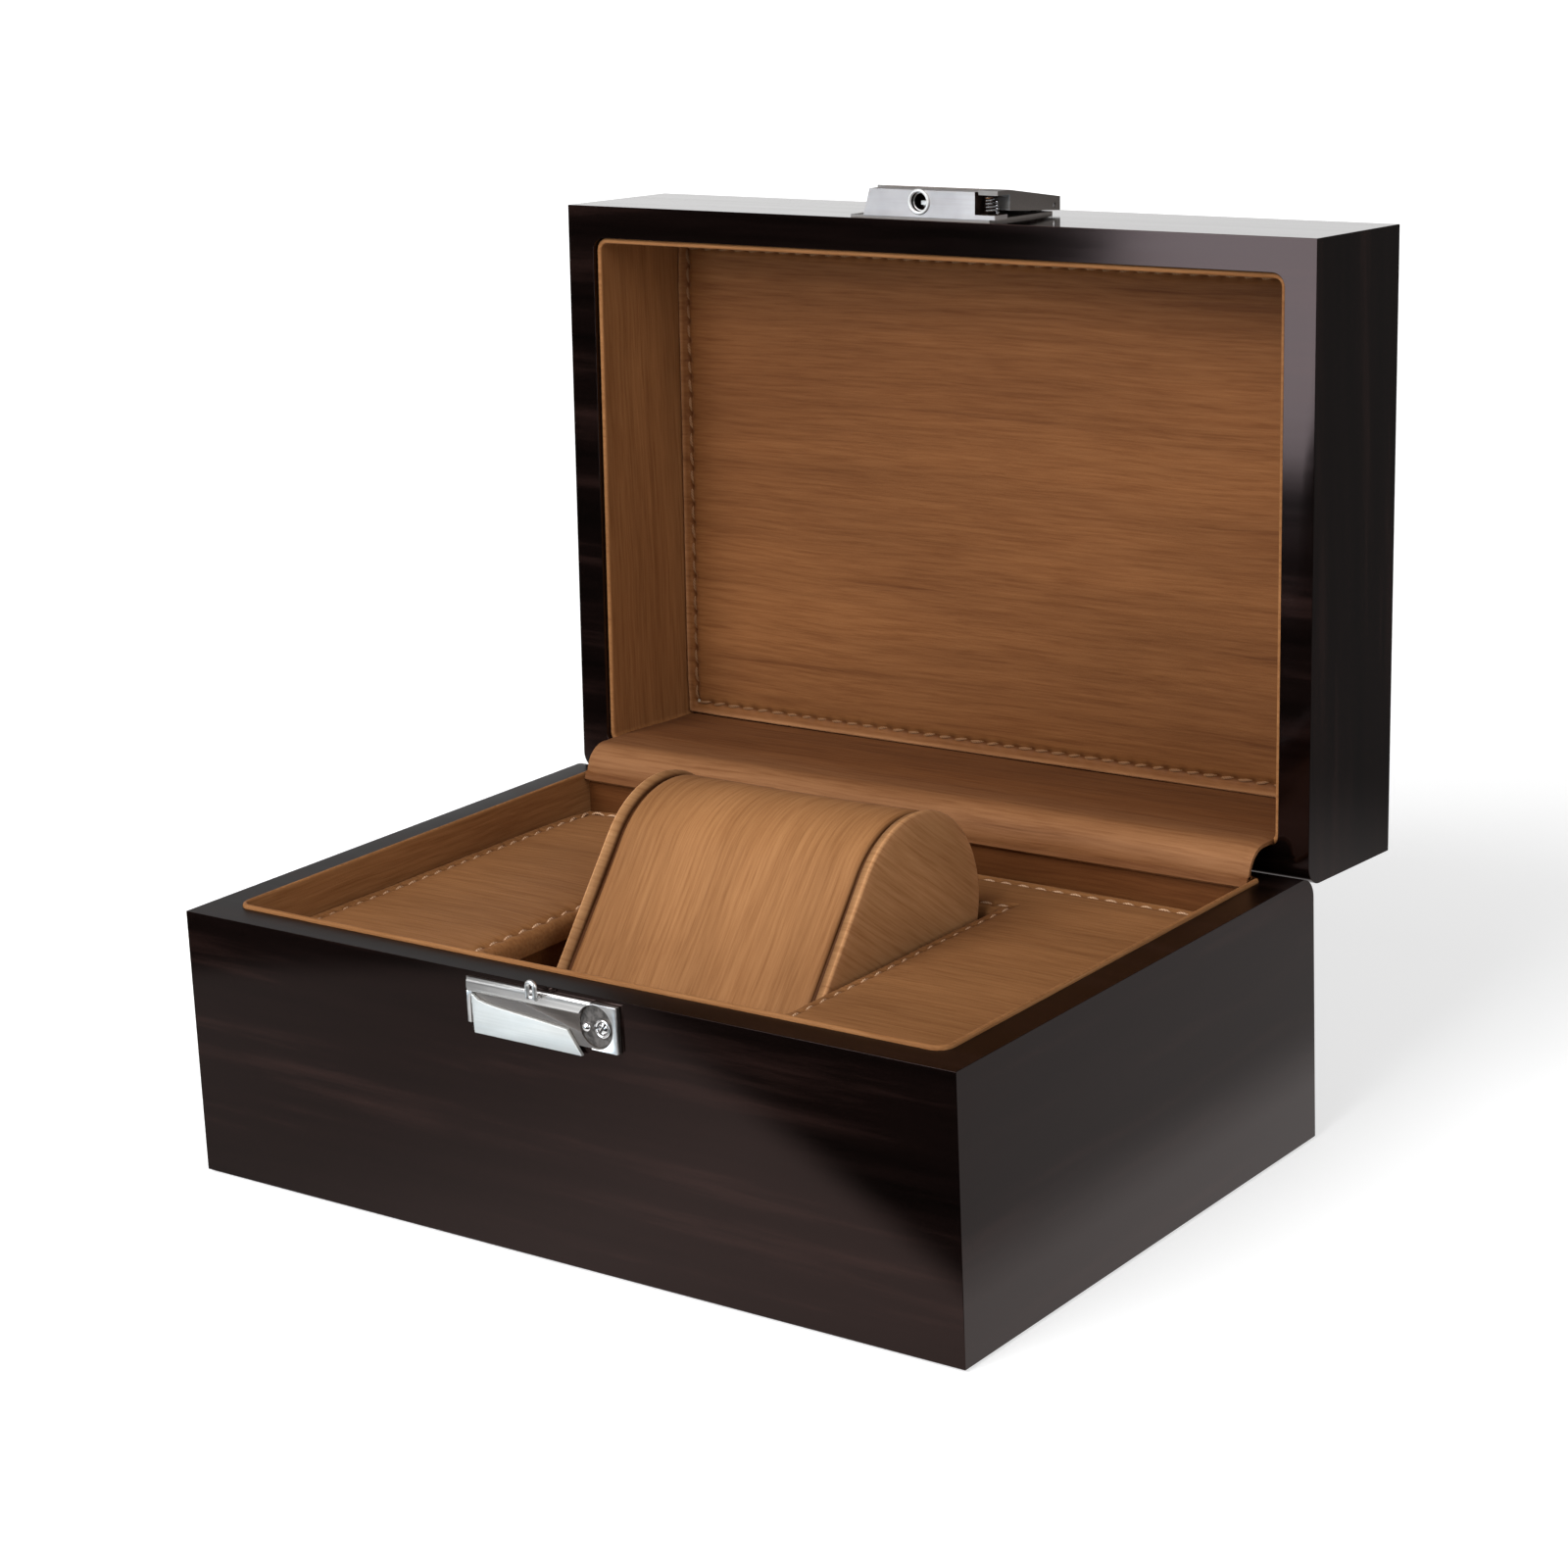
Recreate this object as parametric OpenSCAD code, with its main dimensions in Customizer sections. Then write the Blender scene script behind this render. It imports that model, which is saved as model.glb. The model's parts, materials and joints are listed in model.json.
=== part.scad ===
/* [Box] */
// Width of the box, side to side
box_w = 200; // [180:1:240]
// Depth of the box, front to back
box_d = 138.5; // [130:0.5:170]
// Height of the base
base_h = 60.3; // [58:0.1:66]
// Height of the lid
lid_h = 37.2; // [34:0.1:45]
// Thickness of the wooden walls
wall_t = 7.5; // [7:0.1:9]
// Radius of the two long edges that face each other at the hinge
hinge_edge_r = 5; // [4.5:0.1:6]
// Radius of the upright corners
corner_r = 1.2; // [0.6:0.1:2]

/* [Hinge] */
// Angle the lid is open at
lid_open = 92.4; // [0:0.1:92.4]
// Distance of the hinge axis from the rear face
hinge_inset = 2.45; // [2.3:0.05:2.7]
// Distance of each hinge from the middle of the box
hinge_x = 62; // [45:1:70]
// Length of each hinge
hinge_len = 32; // [24:1:36]

/* [Latch] */
// Width of the catch on the base
catch_w = 39.6; // [36:0.2:44]
// Height of the catch on the base
catch_h = 9.8; // [8:0.1:10]
// Height of the push button on the lid
button_h = 20.8; // [19:0.1:22]

/* [Tray and pillow] */
// Width of the window in the tray
window_w = 78.4; // [74:0.2:90]
// Depth of the window in the tray
window_d = 77; // [72:0.5:82]
// Height of the tray's leather surface above the underside
tray_z = 52.6; // [51:0.1:54]
// Length of the pillow, end to end
pillow_len = 69.3; // [60:0.1:71]
// Distance of the pillow's middle to the right of the box's middle
pillow_x = 3.15; // [0:0.05:3.2]
// Radius of the pillow's round back
pillow_r = 22.8; // [20:0.1:23]

/* [Hidden] */

wood = [0.10, 0.07, 0.06];
leather = [0.50, 0.31, 0.17];
leather_dark = [0.36, 0.20, 0.10];
leather_edge = [0.72, 0.50, 0.34];
felt = [0.08, 0.07, 0.07];
board = [0.62, 0.53, 0.42];
chrome = [0.80, 0.80, 0.82];
brass = [0.78, 0.64, 0.36];

$fn = 48;
eps = 0.01;
half_w = box_w / 2;
half_d = box_d / 2;

// Wooden case
felt_t = 0.6;
felt_inset = 3;
floor_t = 5;
top_t = 5;
seam = 0.2;
lid_z0 = base_h + seam;
lid_z1 = lid_z0 + lid_h;
in_w = half_w - wall_t;
in_d = half_d - wall_t;
hinge_y = half_d - hinge_inset;
hinge_z = base_h + seam / 2;

// Leather-covered boards inside
lining_t = 1.3;
rear_lining_t = 4.6;
lid_rear_lining_t = 1.3;
lining_play = 0.1;
lip = 0.8;
lining_bottom = felt_t + floor_t;
face_x = in_w - lining_t;
face_front = in_d - lining_t;
face_rear = in_d - rear_lining_t;
lid_lining_z0 = lid_z0 + lip + 0.2;
lid_ceiling = lid_z1 - top_t;
lid_board_t = 1.2;
lid_pad_t = 1.3;
lid_pad_gap = 1.4;

// Tray and well
tray_pad_t = 2.6;
tray_board_t = 2;
tray_gap = 0.3;
window_y = (face_rear - face_front) / 2;
window_front = window_y - window_d / 2;
window_rear = window_y + window_d / 2;
board_z = tray_z - tray_pad_t - tray_board_t;
well_wall_t = 1.6;
well_pad_t = 2;
well_pad_top = 30.2;

// Pillow: a large circle at the back and a small one low at the front, joined by tangents
pillow_back = [10.4, 57.2];
pillow_front = [-22.6, 39.2];
pillow_front_r = 8;
wrap_t = 1.2;
cap_t = 2.6;
cap_overhang = 0.6;
cap_groove = 0.9;
pillow_x0 = pillow_x - pillow_len / 2;
pillow_x1 = pillow_x + pillow_len / 2;

// Hinges
knuckle_r = 2;
knuckle_gap = 0.2;
pin_r = 0.8;
pin_play = 0.04;
leaf_t = 1;
leaf_y0 = half_d - wall_t + 0.5;
knuckle_count = 5;
knuckle_len = hinge_len / knuckle_count;

// Latch
catch_top = base_h - 1.1;
catch_bottom = catch_top - catch_h;
catch_in = 1.5;
catch_out = 0.5;
catch_shift = 0.5;
catch_x0 = catch_shift - catch_w / 2;
catch_x1 = catch_x0 + catch_w;
bar_x0 = catch_x0 + 0.6;
bar_h = 3;
bar_out = 0.8;
block_x0 = 13.6;
recess_r = 4.3;
recess_x = 14.7;
recess_z = catch_bottom + 4.6;
catch_screw_z = catch_bottom + 4.4;
catch_screw_xs = [-11, 16];
lug_w = 3;
lug_back = 2.3;
lug_t = 1.5;
lug_top = base_h + 2.1;
lock_z0 = lid_z0 + 1.2;
housing_z1 = lock_z0 + 5.1;
button_z0 = housing_z1 + 0.7;
button_z1 = button_z0 + button_h;
lock_plate_t = 0.6;
lock_plate_w = 37.2;
button_x0 = -15;
button_x1 = 20.4;
button_skin = 1;
button_tall = 6.9;
button_short = 4;
button_lift = 2.35;
housing_x0 = -14.9;
housing_slant = 1.7;
housing_out = 6.6;
pocket_x = 15;
socket_r = 2.3;
socket_out = 4;
button_end_lift = 0.85;
pivot_z = button_z1 - 2.4;
pivot_out = 2.1;
pivot_r = 0.6;
ear_xs = [-12.5, 15.5];
ear_half = 1.1;
ear_out = 0.8;
spring_x = 17.4;
spring_z = lock_z0 + 3;
spring_r = 1.5;
spring_wire_r = 0.28;
spring_turns = 5;
lock_screw_xs = [-11, 11];
lock_screw_z = button_z0 + 8;

// ---------- shared shapes ----------

// Everything on the lid is placed as if closed, then turned open about the hinge axis
module on_lid() {
  translate([0, hinge_y, hinge_z]) rotate([-lid_open, 0, 0])
    translate([0, -hinge_y, -hinge_z]) children();
}

// A block given by its two corners
module block(x0, x1, y0, y1, z0, z1) {
  translate([x0, y0, z0]) cube([x1 - x0, y1 - y0, z1 - z0]);
}

// A y-z outline drawn out along x
module along_x(x0, x1) {
  translate([x0, 0, 0]) rotate([90, 0, 90]) linear_extrude(x1 - x0) children();
}

// A rod along x
module rod_x(x0, x1, y, z, r) {
  translate([x0, y, z]) rotate([0, 90, 0]) cylinder(h = x1 - x0, r = r);
}

// Plan of the box with small round upright corners
module box_plan() {
  square([box_w - 2 * corner_r, box_d], center = true);
  square([box_w, box_d - 2 * corner_r], center = true);
  for (sx = [-1, 1], sy = [-1, 1])
    translate([sx * (half_w - corner_r), sy * (half_d - corner_r)]) circle(corner_r);
}

// Material cut away to round a long edge: the corner is at the origin, the wood lies at -y and -z
module edge_cut() {
  difference() {
    translate([-hinge_edge_r, -hinge_edge_r]) square(hinge_edge_r + 1);
    translate([-hinge_edge_r, -hinge_edge_r]) circle(hinge_edge_r);
  }
}

// Outside form of the base
module base_form() {
  difference() {
    translate([0, 0, felt_t]) linear_extrude(base_h - felt_t) box_plan();
    along_x(-half_w - 1, half_w + 1) translate([half_d, base_h]) edge_cut();
  }
}

// Outside form of the lid's walls, closed
module lid_form() {
  difference() {
    translate([0, 0, lid_z0]) linear_extrude(lid_ceiling - lid_z0) box_plan();
    along_x(-half_w - 1, half_w + 1) translate([half_d, lid_z0]) mirror([0, 1]) edge_cut();
  }
}

// Mitred plan of one wall: front is turned to each side, long walls along x
module long_wall_plan() {
  polygon([[-half_w, -half_d], [half_w, -half_d], [in_w, -in_d], [-in_w, -in_d]]);
}
module short_wall_plan() {
  polygon([[-half_w, -half_d], [-in_w, -in_d], [-in_w, in_d], [-half_w, half_d]]);
}
module wall(form_z) {
  intersection() {
    translate([0, 0, -1]) linear_extrude(form_z + 2) children(0);
    children(1);
  }
}

// A slotted countersunk wood screw: head at the origin facing +z
module wood_screw(head_r, shank_r, length) {
  head_t = head_r * 0.55;
  difference() {
    union() {
      translate([0, 0, -head_t]) cylinder(h = head_t, r1 = shank_r, r2 = head_r);
      translate([0, 0, -length]) cylinder(h = length - head_t + eps, r = shank_r);
    }
    translate([-head_r - 1, -head_r * 0.13, -head_r * 0.25]) cube([2 * head_r + 2, head_r * 0.26, 2]);
  }
}
// The hole the screw sits in
module screw_bore(head_r, shank_r, length) {
  head_t = head_r * 0.55;
  play = 0.05;
  translate([0, 0, -head_t]) cylinder(h = head_t + eps, r1 = shank_r + play, r2 = head_r + play);
  translate([0, 0, -length - play]) cylinder(h = length + play, r = shank_r + play);
  cylinder(h = 3, r = head_r + play);
}

// ---------- hinges ----------

leaf_head_r = 1.05;
leaf_shank_r = 0.55;
leaf_screw_len = 5;
leaf_screw_y = leaf_y0 + 1.2;
leaf_screw_dx = hinge_len / 2 - 6;

module each_hinge() {
  for (s = [-1, 1]) translate([s * hinge_x, 0, 0]) children();
}
module leaf_screws_at(z) {
  for (dx = [-leaf_screw_dx, leaf_screw_dx]) translate([dx, leaf_screw_y, z]) children();
}
// Room for a hinge in the rear walls: flat mortises for the leaves and a groove for the knuckles
module hinge_room() {
  block(-hinge_len / 2 - 0.1, hinge_len / 2 + 0.1, leaf_y0 - 0.1, half_d + 1,
        base_h - leaf_t, lid_z0 + leaf_t);
  rod_x(-hinge_len / 2 - 0.3, hinge_len / 2 + 0.3, hinge_y, hinge_z, knuckle_r + 0.3);
  leaf_screws_at(base_h) screw_bore(leaf_head_r, leaf_shank_r, leaf_screw_len);
  leaf_screws_at(lid_z0) mirror([0, 0, 1]) screw_bore(leaf_head_r, leaf_shank_r, leaf_screw_len);
}
// One leaf with the knuckles numbered from first, every second one, lying in z0..z0+leaf_t
module leaf(z0, first) {
  difference() {
    union() {
      block(-hinge_len / 2, hinge_len / 2, leaf_y0, hinge_y, z0, z0 + leaf_t);
      for (k = [first : 2 : knuckle_count - 1])
        rod_x(-hinge_len / 2 + k * knuckle_len + knuckle_gap / 2,
              -hinge_len / 2 + (k + 1) * knuckle_len - knuckle_gap / 2, hinge_y, hinge_z, knuckle_r);
    }
    for (k = [1 - first : 2 : knuckle_count - 1])
      rod_x(-hinge_len / 2 + k * knuckle_len - knuckle_gap / 2,
            -hinge_len / 2 + (k + 1) * knuckle_len + knuckle_gap / 2, hinge_y, hinge_z, knuckle_r + 0.3);
    rod_x(-hinge_len, hinge_len, hinge_y, hinge_z, pin_r + pin_play);
    leaf_screws_at(base_h) screw_bore(leaf_head_r, leaf_shank_r, leaf_screw_len);
    leaf_screws_at(lid_z0) mirror([0, 0, 1]) screw_bore(leaf_head_r, leaf_shank_r, leaf_screw_len);
  }
}
module base_leaf(side) {
  color(brass) translate([side * hinge_x, 0, 0]) leaf(base_h - leaf_t, 0);
}
module lid_leaf(side) {
  color(brass) on_lid() translate([side * hinge_x, 0, 0]) leaf(lid_z0, 1);
}
module base_leaf_screws() {
  color(brass) each_hinge() leaf_screws_at(base_h) wood_screw(leaf_head_r, leaf_shank_r, leaf_screw_len);
}
module lid_leaf_screws() {
  color(brass) on_lid() each_hinge() leaf_screws_at(lid_z0)
    mirror([0, 0, 1]) wood_screw(leaf_head_r, leaf_shank_r, leaf_screw_len);
}
module hinge_pin(side) {
  color(brass) rod_x(side * hinge_x - hinge_len / 2 + 0.1, side * hinge_x + hinge_len / 2 - 0.1,
                     hinge_y, hinge_z, pin_r);
}

// Leather strip that covers the hinges from the base lining up onto the lid lining
flap_t = 0.8;
flap_x = face_x - 0.6;
flap_r = 7;
flap_foot = [face_rear + 0.8, base_h + 0.3];
flap_end_y = hinge_y + 12;
module hinge_flap() {
  cx = flap_foot[0] + flap_r;
  arc = [for (a = [180 : -15 : 90]) a];
  top_z = hinge_z + hinge_y - in_d + lid_rear_lining_t + 0.15;
  cz = top_z + flap_t - flap_r;
  outer = [for (a = arc) [cx + flap_r * cos(a), cz + flap_r * sin(a)]];
  inner = [for (a = arc) [cx + (flap_r - flap_t) * cos(a), cz + (flap_r - flap_t) * sin(a)]];
  n = len(inner);
  color(leather) along_x(-flap_x, flap_x) polygon(concat(
    [flap_foot], outer,
    [[flap_end_y, outer[n - 1][1] - 0.1], [flap_end_y, inner[n - 1][1] - 0.1]],
    [for (i = [n - 1 : -1 : 0]) inner[i]],
    [[flap_foot[0] + flap_t, flap_foot[1]]]));
}

// ---------- base ----------

module catch_pocket() {
  play = 0.1;
  block(catch_x0 - play, catch_x1 + play, -half_d - 5, -half_d + catch_in + play,
        catch_bottom - play, catch_top + play);
  catch_screw_places() screw_bore(catch_head_r, catch_shank_r, catch_screw_len);
}
module base_front_wall() {
  color(wood) difference() {
    wall(base_h) {
      long_wall_plan();
      base_form();
    }
    catch_pocket();
  }
}
module base_rear_wall() {
  color(wood) difference() {
    wall(base_h) {
      mirror([0, 1]) long_wall_plan();
      base_form();
    }
    each_hinge() hinge_room();
  }
}
module base_side_wall(side) {
  color(wood) wall(base_h) {
    mirror([side > 0 ? 1 : 0, 0]) short_wall_plan();
    base_form();
  }
}
module base_floor() {
  color(wood) block(-in_w, in_w, -in_d, in_d, felt_t, felt_t + floor_t);
}
module base_felt() {
  color(felt) block(-half_w + felt_inset, half_w - felt_inset,
                    -half_d + felt_inset, half_d - felt_inset, 0, felt_t);
}

// Lining boards, with a rounded lip that stands a little above the rim
module lining_profile(t, z0, z1) {
  r = (t - lining_play) / 2;
  translate([lining_play, z0]) square([t - lining_play, z1 - z0 - r]);
  translate([lining_play + r, z1 - r]) circle(r);
}
module base_lining_front() {
  color(leather) along_x(-in_w, in_w) translate([-in_d, 0])
    lining_profile(lining_t, lining_bottom, base_h + lip);
}
module base_lining_rear() {
  color(leather) block(-face_x, face_x, face_rear, in_d, lining_bottom, base_h);
}
module base_lining_side(side) {
  color(leather) mirror([side > 0 ? 1 : 0, 0, 0]) translate([-in_w, in_d, 0]) rotate([90, 0, 0])
    linear_extrude(in_d + face_front) lining_profile(lining_t, lining_bottom, base_h + lip);
}

// Tray
module tray_plan(gap) {
  difference() {
    translate([-face_x + gap, -face_front + gap])
      square([2 * (face_x - gap), face_front + face_rear - 2 * gap]);
    translate([-window_w / 2, window_front]) square([window_w, window_d]);
  }
}
module tray_board() {
  color(board) translate([0, 0, board_z]) linear_extrude(tray_board_t) tray_plan(tray_gap);
}
module tray_pad() {
  color(leather) translate([0, 0, board_z + tray_board_t]) linear_extrude(tray_pad_t) tray_plan(tray_gap);
}
module well_long_wall(y0) {
  color(leather_dark) block(-window_w / 2 - well_wall_t, window_w / 2 + well_wall_t,
                            y0, y0 + well_wall_t, lining_bottom, board_z);
}
module well_short_wall(x0) {
  color(leather_dark) block(x0, x0 + well_wall_t, window_front, window_rear, lining_bottom, board_z);
}
module well_floor_pad() {
  color(leather_dark) block(-window_w / 2, window_w / 2, window_front, window_rear,
                            well_pad_top - well_pad_t, well_pad_top);
}

// ---------- catch on the base ----------

catch_head_r = 1.8;
catch_shank_r = 0.9;
catch_screw_len = 6.5;
recess_depth = 0.9;

// Turns a shape drawn facing +z so that it faces the front, at the catch's screw seats
module catch_screw_places() {
  for (x = catch_screw_xs)
    translate([x, -half_d - catch_out + recess_depth, catch_screw_z]) rotate([90, 0, 0]) children();
}
module catch_plate() {
  color(chrome) difference() {
    union() {
      block(catch_x0, catch_x1, -half_d - catch_out, -half_d + catch_in, catch_bottom, catch_top);
      block(bar_x0, block_x0, -half_d - catch_out - bar_out, -half_d, catch_top - bar_h, catch_top);
      block(block_x0, catch_x1, -half_d - catch_out - bar_out, -half_d, catch_bottom, catch_top);
    }
    translate([recess_x, -half_d - catch_out + recess_depth, recess_z]) rotate([90, 0, 0])
      cylinder(h = 5, r = recess_r);
    catch_screw_places() screw_bore(catch_head_r, catch_shank_r, catch_screw_len);
    catch_rivet_hole();
  }
}
// Stamped blade in front of the plate: a finger edge that hangs below it, with a curved upper edge
// and its right end cut on a slant
blade_t = 0.9;
blade_drop = 1.8;
module catch_blade() {
  color(chrome) translate([0, -half_d - catch_out, catch_bottom]) rotate([90, 0, 0]) linear_extrude(blade_t)
    polygon([[-17.6, 6.6], [-15.6, 5.7], [-12.1, 4.9], [-2.6, 4.4], [7.5, 3.2], [11.1, -blade_drop],
             [-17.2, -blade_drop]]);
}
// Upright eye on the bar that enters the socket of the lock
module catch_lug() {
  y0 = -half_d - lug_back - lug_t;
  bar_face = -half_d - catch_out - bar_out;
  color(chrome) difference() {
    union() {
      block(-lug_w / 2, lug_w / 2, y0, y0 + lug_t, catch_top - bar_h, lug_top - lug_w / 2);
      block(-lug_w / 2, lug_w / 2, y0 + lug_t - eps, bar_face, catch_top - bar_h, catch_top);
      translate([0, y0 + lug_t, lug_top - lug_w / 2]) rotate([90, 0, 0]) cylinder(h = lug_t, r = lug_w / 2);
    }
    block(-0.45, 0.45, y0 - 1, y0 + lug_t + 1, catch_top + eps, lug_top - 1.3);
  }
}
module catch_screws() {
  color(chrome) catch_screw_places() wood_screw(catch_head_r, catch_shank_r, catch_screw_len);
}
rivet_x = 12.2;
rivet_r = 0.75;
module catch_rivet_hole() {
  translate([rivet_x, -half_d + catch_in + 1, recess_z]) rotate([90, 0, 0])
    cylinder(h = 6, r = rivet_r + 0.05);
}
module catch_rivet() {
  y0 = -half_d - catch_out - 0.2;
  color(chrome) translate([rivet_x, -half_d + catch_in, recess_z]) rotate([90, 0, 0])
    cylinder(h = catch_in + catch_out + 0.2, r = rivet_r);
  color(chrome) translate([rivet_x, y0, recess_z]) sphere(rivet_r);
}

// ---------- lid ----------

module lid_front_wall() {
  color(wood) on_lid() difference() {
    wall(lid_z1) {
      long_wall_plan();
      lid_form();
    }
    lock_screw_places() screw_bore(lock_head_r, lock_shank_r, lock_screw_len);
  }
}
module lid_rear_wall() {
  color(wood) on_lid() difference() {
    wall(lid_z1) {
      mirror([0, 1]) long_wall_plan();
      lid_form();
    }
    each_hinge() hinge_room();
  }
}
module lid_side_wall(side) {
  color(wood) on_lid() wall(lid_z1) {
    mirror([side > 0 ? 1 : 0, 0]) short_wall_plan();
    lid_form();
  }
}
module lid_top_panel() {
  color(wood) on_lid() translate([0, 0, lid_ceiling]) linear_extrude(top_t) box_plan();
}
module lid_lining_long(y0, t) {
  color(leather) on_lid() block(-in_w, in_w, y0, y0 + t, lid_lining_z0, lid_ceiling);
}
module lid_lining_side(side) {
  color(leather) on_lid() mirror([side > 0 ? 1 : 0, 0, 0])
    block(-in_w, -in_w + lining_t, -face_front, in_d - lid_rear_lining_t, lid_lining_z0, lid_ceiling);
}
module lid_panel_block(z0, z1) {
  block(-face_x + lid_pad_gap, face_x - lid_pad_gap, -face_front + lid_pad_gap,
        in_d - lid_rear_lining_t - lid_pad_gap, z0, z1);
}
module lid_pad_board() {
  color(board) on_lid() lid_panel_block(lid_ceiling - lid_board_t, lid_ceiling);
}
module lid_pad() {
  color(leather) on_lid()
    lid_panel_block(lid_ceiling - lid_board_t - lid_pad_t, lid_ceiling - lid_board_t);
}

// ---------- lock on the lid ----------

lock_head_r = 1.8;
lock_shank_r = 0.9;
lock_screw_len = 6;
lock_flange_t = 1;

// Distance in front of the lid's front face
function out(d) = -half_d - d;

module lock_screw_places() {
  for (x = lock_screw_xs)
    translate([x, out(lock_plate_t), lock_screw_z]) rotate([90, 0, 0]) children();
}
module lock_plate() {
  color(chrome) on_lid() difference() {
    union() {
      block(-lock_plate_w / 2, lock_plate_w / 2, out(lock_plate_t), out(0), lock_z0 + 0.3, button_z1 - 0.4);
      for (x = ear_xs) translate([x, 0, 0])
        block(-0.8, 0.8, out(pivot_out + ear_out), out(0), pivot_z - ear_half, pivot_z + ear_half);
    }
    rod_x(-half_w, half_w, out(pivot_out), pivot_z, pivot_r + pin_play);
    lock_screw_places() screw_bore(lock_head_r, lock_shank_r, lock_screw_len);
  }
}
module lock_housing() {
  color(chrome) on_lid() difference() {
    union() {
      translate([0, 0, lock_z0]) linear_extrude(housing_z1 - lock_z0)
        polygon([[housing_x0, out(lock_plate_t)], [housing_x0 + housing_slant, out(housing_out)],
                 [pocket_x, out(housing_out)], [pocket_x, out(lock_plate_t)]]);
      block(pocket_x - eps, 20.2, out(lock_plate_t + lock_flange_t), out(lock_plate_t), lock_z0, housing_z1);
    }
    translate([0, out(socket_out), lock_z0 - 1]) cylinder(h = 5.2, r = socket_r);
    block(-1, 1, out(4.4), out(lock_plate_t - eps), lock_z0 + 1.6, housing_z1 + 1);
  }
}
module lock_screws() {
  color(chrome) on_lid() lock_screw_places() wood_screw(lock_head_r, lock_shank_r, lock_screw_len);
}
module button_pin() {
  color(chrome) on_lid() rod_x(button_x0 + 0.2, button_x1 - 0.2, out(pivot_out), pivot_z, pivot_r);
}

// Side outline of the push button in the (y, z) plane, taller at the seam end
function button_side(inset) = [
  [out(button_lift), button_z0 + inset],
  [out(button_tall - inset), button_z0 + inset],
  [out(button_short - inset), button_z1 - inset],
  [out(button_end_lift), button_z1 - inset]
];
module button_cover() {
  finger_x0 = pocket_x + 0.3;
  color(chrome) on_lid() difference() {
    union() {
      difference() {
        along_x(button_x0, button_x1) polygon(button_side(0));
        along_x(button_x0 + button_skin, button_x1 - button_skin) polygon(button_room());
      }
      block(finger_x0, button_x1, out(button_tall), out(button_tall - button_skin),
            lock_z0 + 0.9, button_z0 + eps);
    }
    rod_x(-half_w, half_w, out(pivot_out), pivot_z, pivot_r + pin_play);
  }
}
// The hollow of the button is open towards the lid
function button_room() = [
  [out(-1), button_z0 + button_skin],
  [out(button_tall - button_skin), button_z0 + button_skin],
  [out(button_short - button_skin), button_z1 - button_skin],
  [out(-1), button_z1 - button_skin]
];
// Tongue on the button that reaches through the housing behind the catch's eye
module latch_tongue() {
  color(chrome) on_lid() union() {
    block(-0.7, 0.7, out(4.1), out(3.2), lock_z0 + 2.2, button_z0 - eps);
    block(-0.7, 0.7, out(4.1), out(2.8), lock_z0 + 3.2, lock_z0 + 4);
  }
}

// Coil spring under the button's finger
function helix_ring(a, sides) = let(p = [spring_r * cos(a), spring_r * sin(a)])
  [for (k = [0 : sides - 1]) let(b = 360 * k / sides)
    [p[0] + spring_wire_r * cos(b) * cos(a), p[1] + spring_wire_r * cos(b) * sin(a),
     spring_wire_r * sin(b)]];
module coil(length, turns) {
  sides = 6;
  steps = 14 * turns;
  rise = (length - 2 * spring_wire_r) / steps;
  points = [for (i = [0 : steps]) for (q = helix_ring(360 * turns * i / steps, sides))
    [q[0], q[1], q[2] + spring_wire_r + i * rise]];
  walls = [for (i = [0 : steps - 1]) for (k = [0 : sides - 1])
    let(n = (k + 1) % sides)
    [i * sides + k, (i + 1) * sides + k, (i + 1) * sides + n, i * sides + n]];
  ends = [[for (k = [0 : sides - 1]) k], [for (k = [sides - 1 : -1 : 0]) steps * sides + k]];
  polyhedron(points, concat(walls, ends), convexity = 10);
}
module button_spring() {
  z0 = lock_plate_t + lock_flange_t + 0.05;
  color(chrome) on_lid() translate([spring_x, out(z0), spring_z]) rotate([90, 0, 0])
    coil(button_tall - button_skin - z0 - 0.05, spring_turns);
}

// ---------- pillow ----------

// Outline of the pillow grown by d: arcs of the two circles between their common tangents
pillow_steps = 22;
function arc(centre, radius, from, to, steps) =
  [for (i = [0 : steps]) let(a = from + (to - from) * i / steps) centre + radius * [cos(a), sin(a)]];
function pillow_outline(d) = let(
    v = pillow_back - pillow_front,
    lean = atan2(v[1], v[0]),
    half_wrap = acos((pillow_front_r - pillow_r) / norm(v)))
  concat(
    arc(pillow_back, pillow_r + d, lean + half_wrap, lean - half_wrap, pillow_steps),
    arc(pillow_front, pillow_front_r + d, lean - half_wrap, lean + half_wrap - 360, pillow_steps / 2));
core_inset = wrap_t + 0.02;
module pillow_core() {
  color(board) along_x(pillow_x0 + cap_t, pillow_x1 - cap_t) polygon(pillow_outline(-core_inset));
}
module pillow_wrap() {
  color(leather) along_x(pillow_x0 + cap_t + cap_groove, pillow_x1 - cap_t - cap_groove) difference() {
    polygon(pillow_outline(0));
    polygon(pillow_outline(-wrap_t));
  }
}
module pillow_cap(x0) {
  color(leather_edge) along_x(x0, x0 + cap_t) polygon(pillow_outline(cap_overhang));
}

base_front_wall();
base_rear_wall();
base_side_wall(-1);  // base_left_wall
base_side_wall(1);  // base_right_wall
base_floor();
base_felt();
base_lining_front();
base_lining_rear();
base_lining_side(-1);  // base_lining_left
base_lining_side(1);  // base_lining_right
tray_board();
tray_pad();
well_long_wall(window_front - well_wall_t);  // well_front_wall
well_long_wall(window_rear);  // well_rear_wall
well_short_wall(-window_w / 2 - well_wall_t);  // well_left_wall
well_short_wall(window_w / 2);  // well_right_wall
well_floor_pad();
catch_plate();
catch_blade();
catch_lug();
catch_screws();
catch_rivet();
base_leaf(-1);  // base_leaf_left
base_leaf(1);  // base_leaf_right
base_leaf_screws();
hinge_pin(-1);  // hinge_pin_left
hinge_pin(1);  // hinge_pin_right
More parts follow.
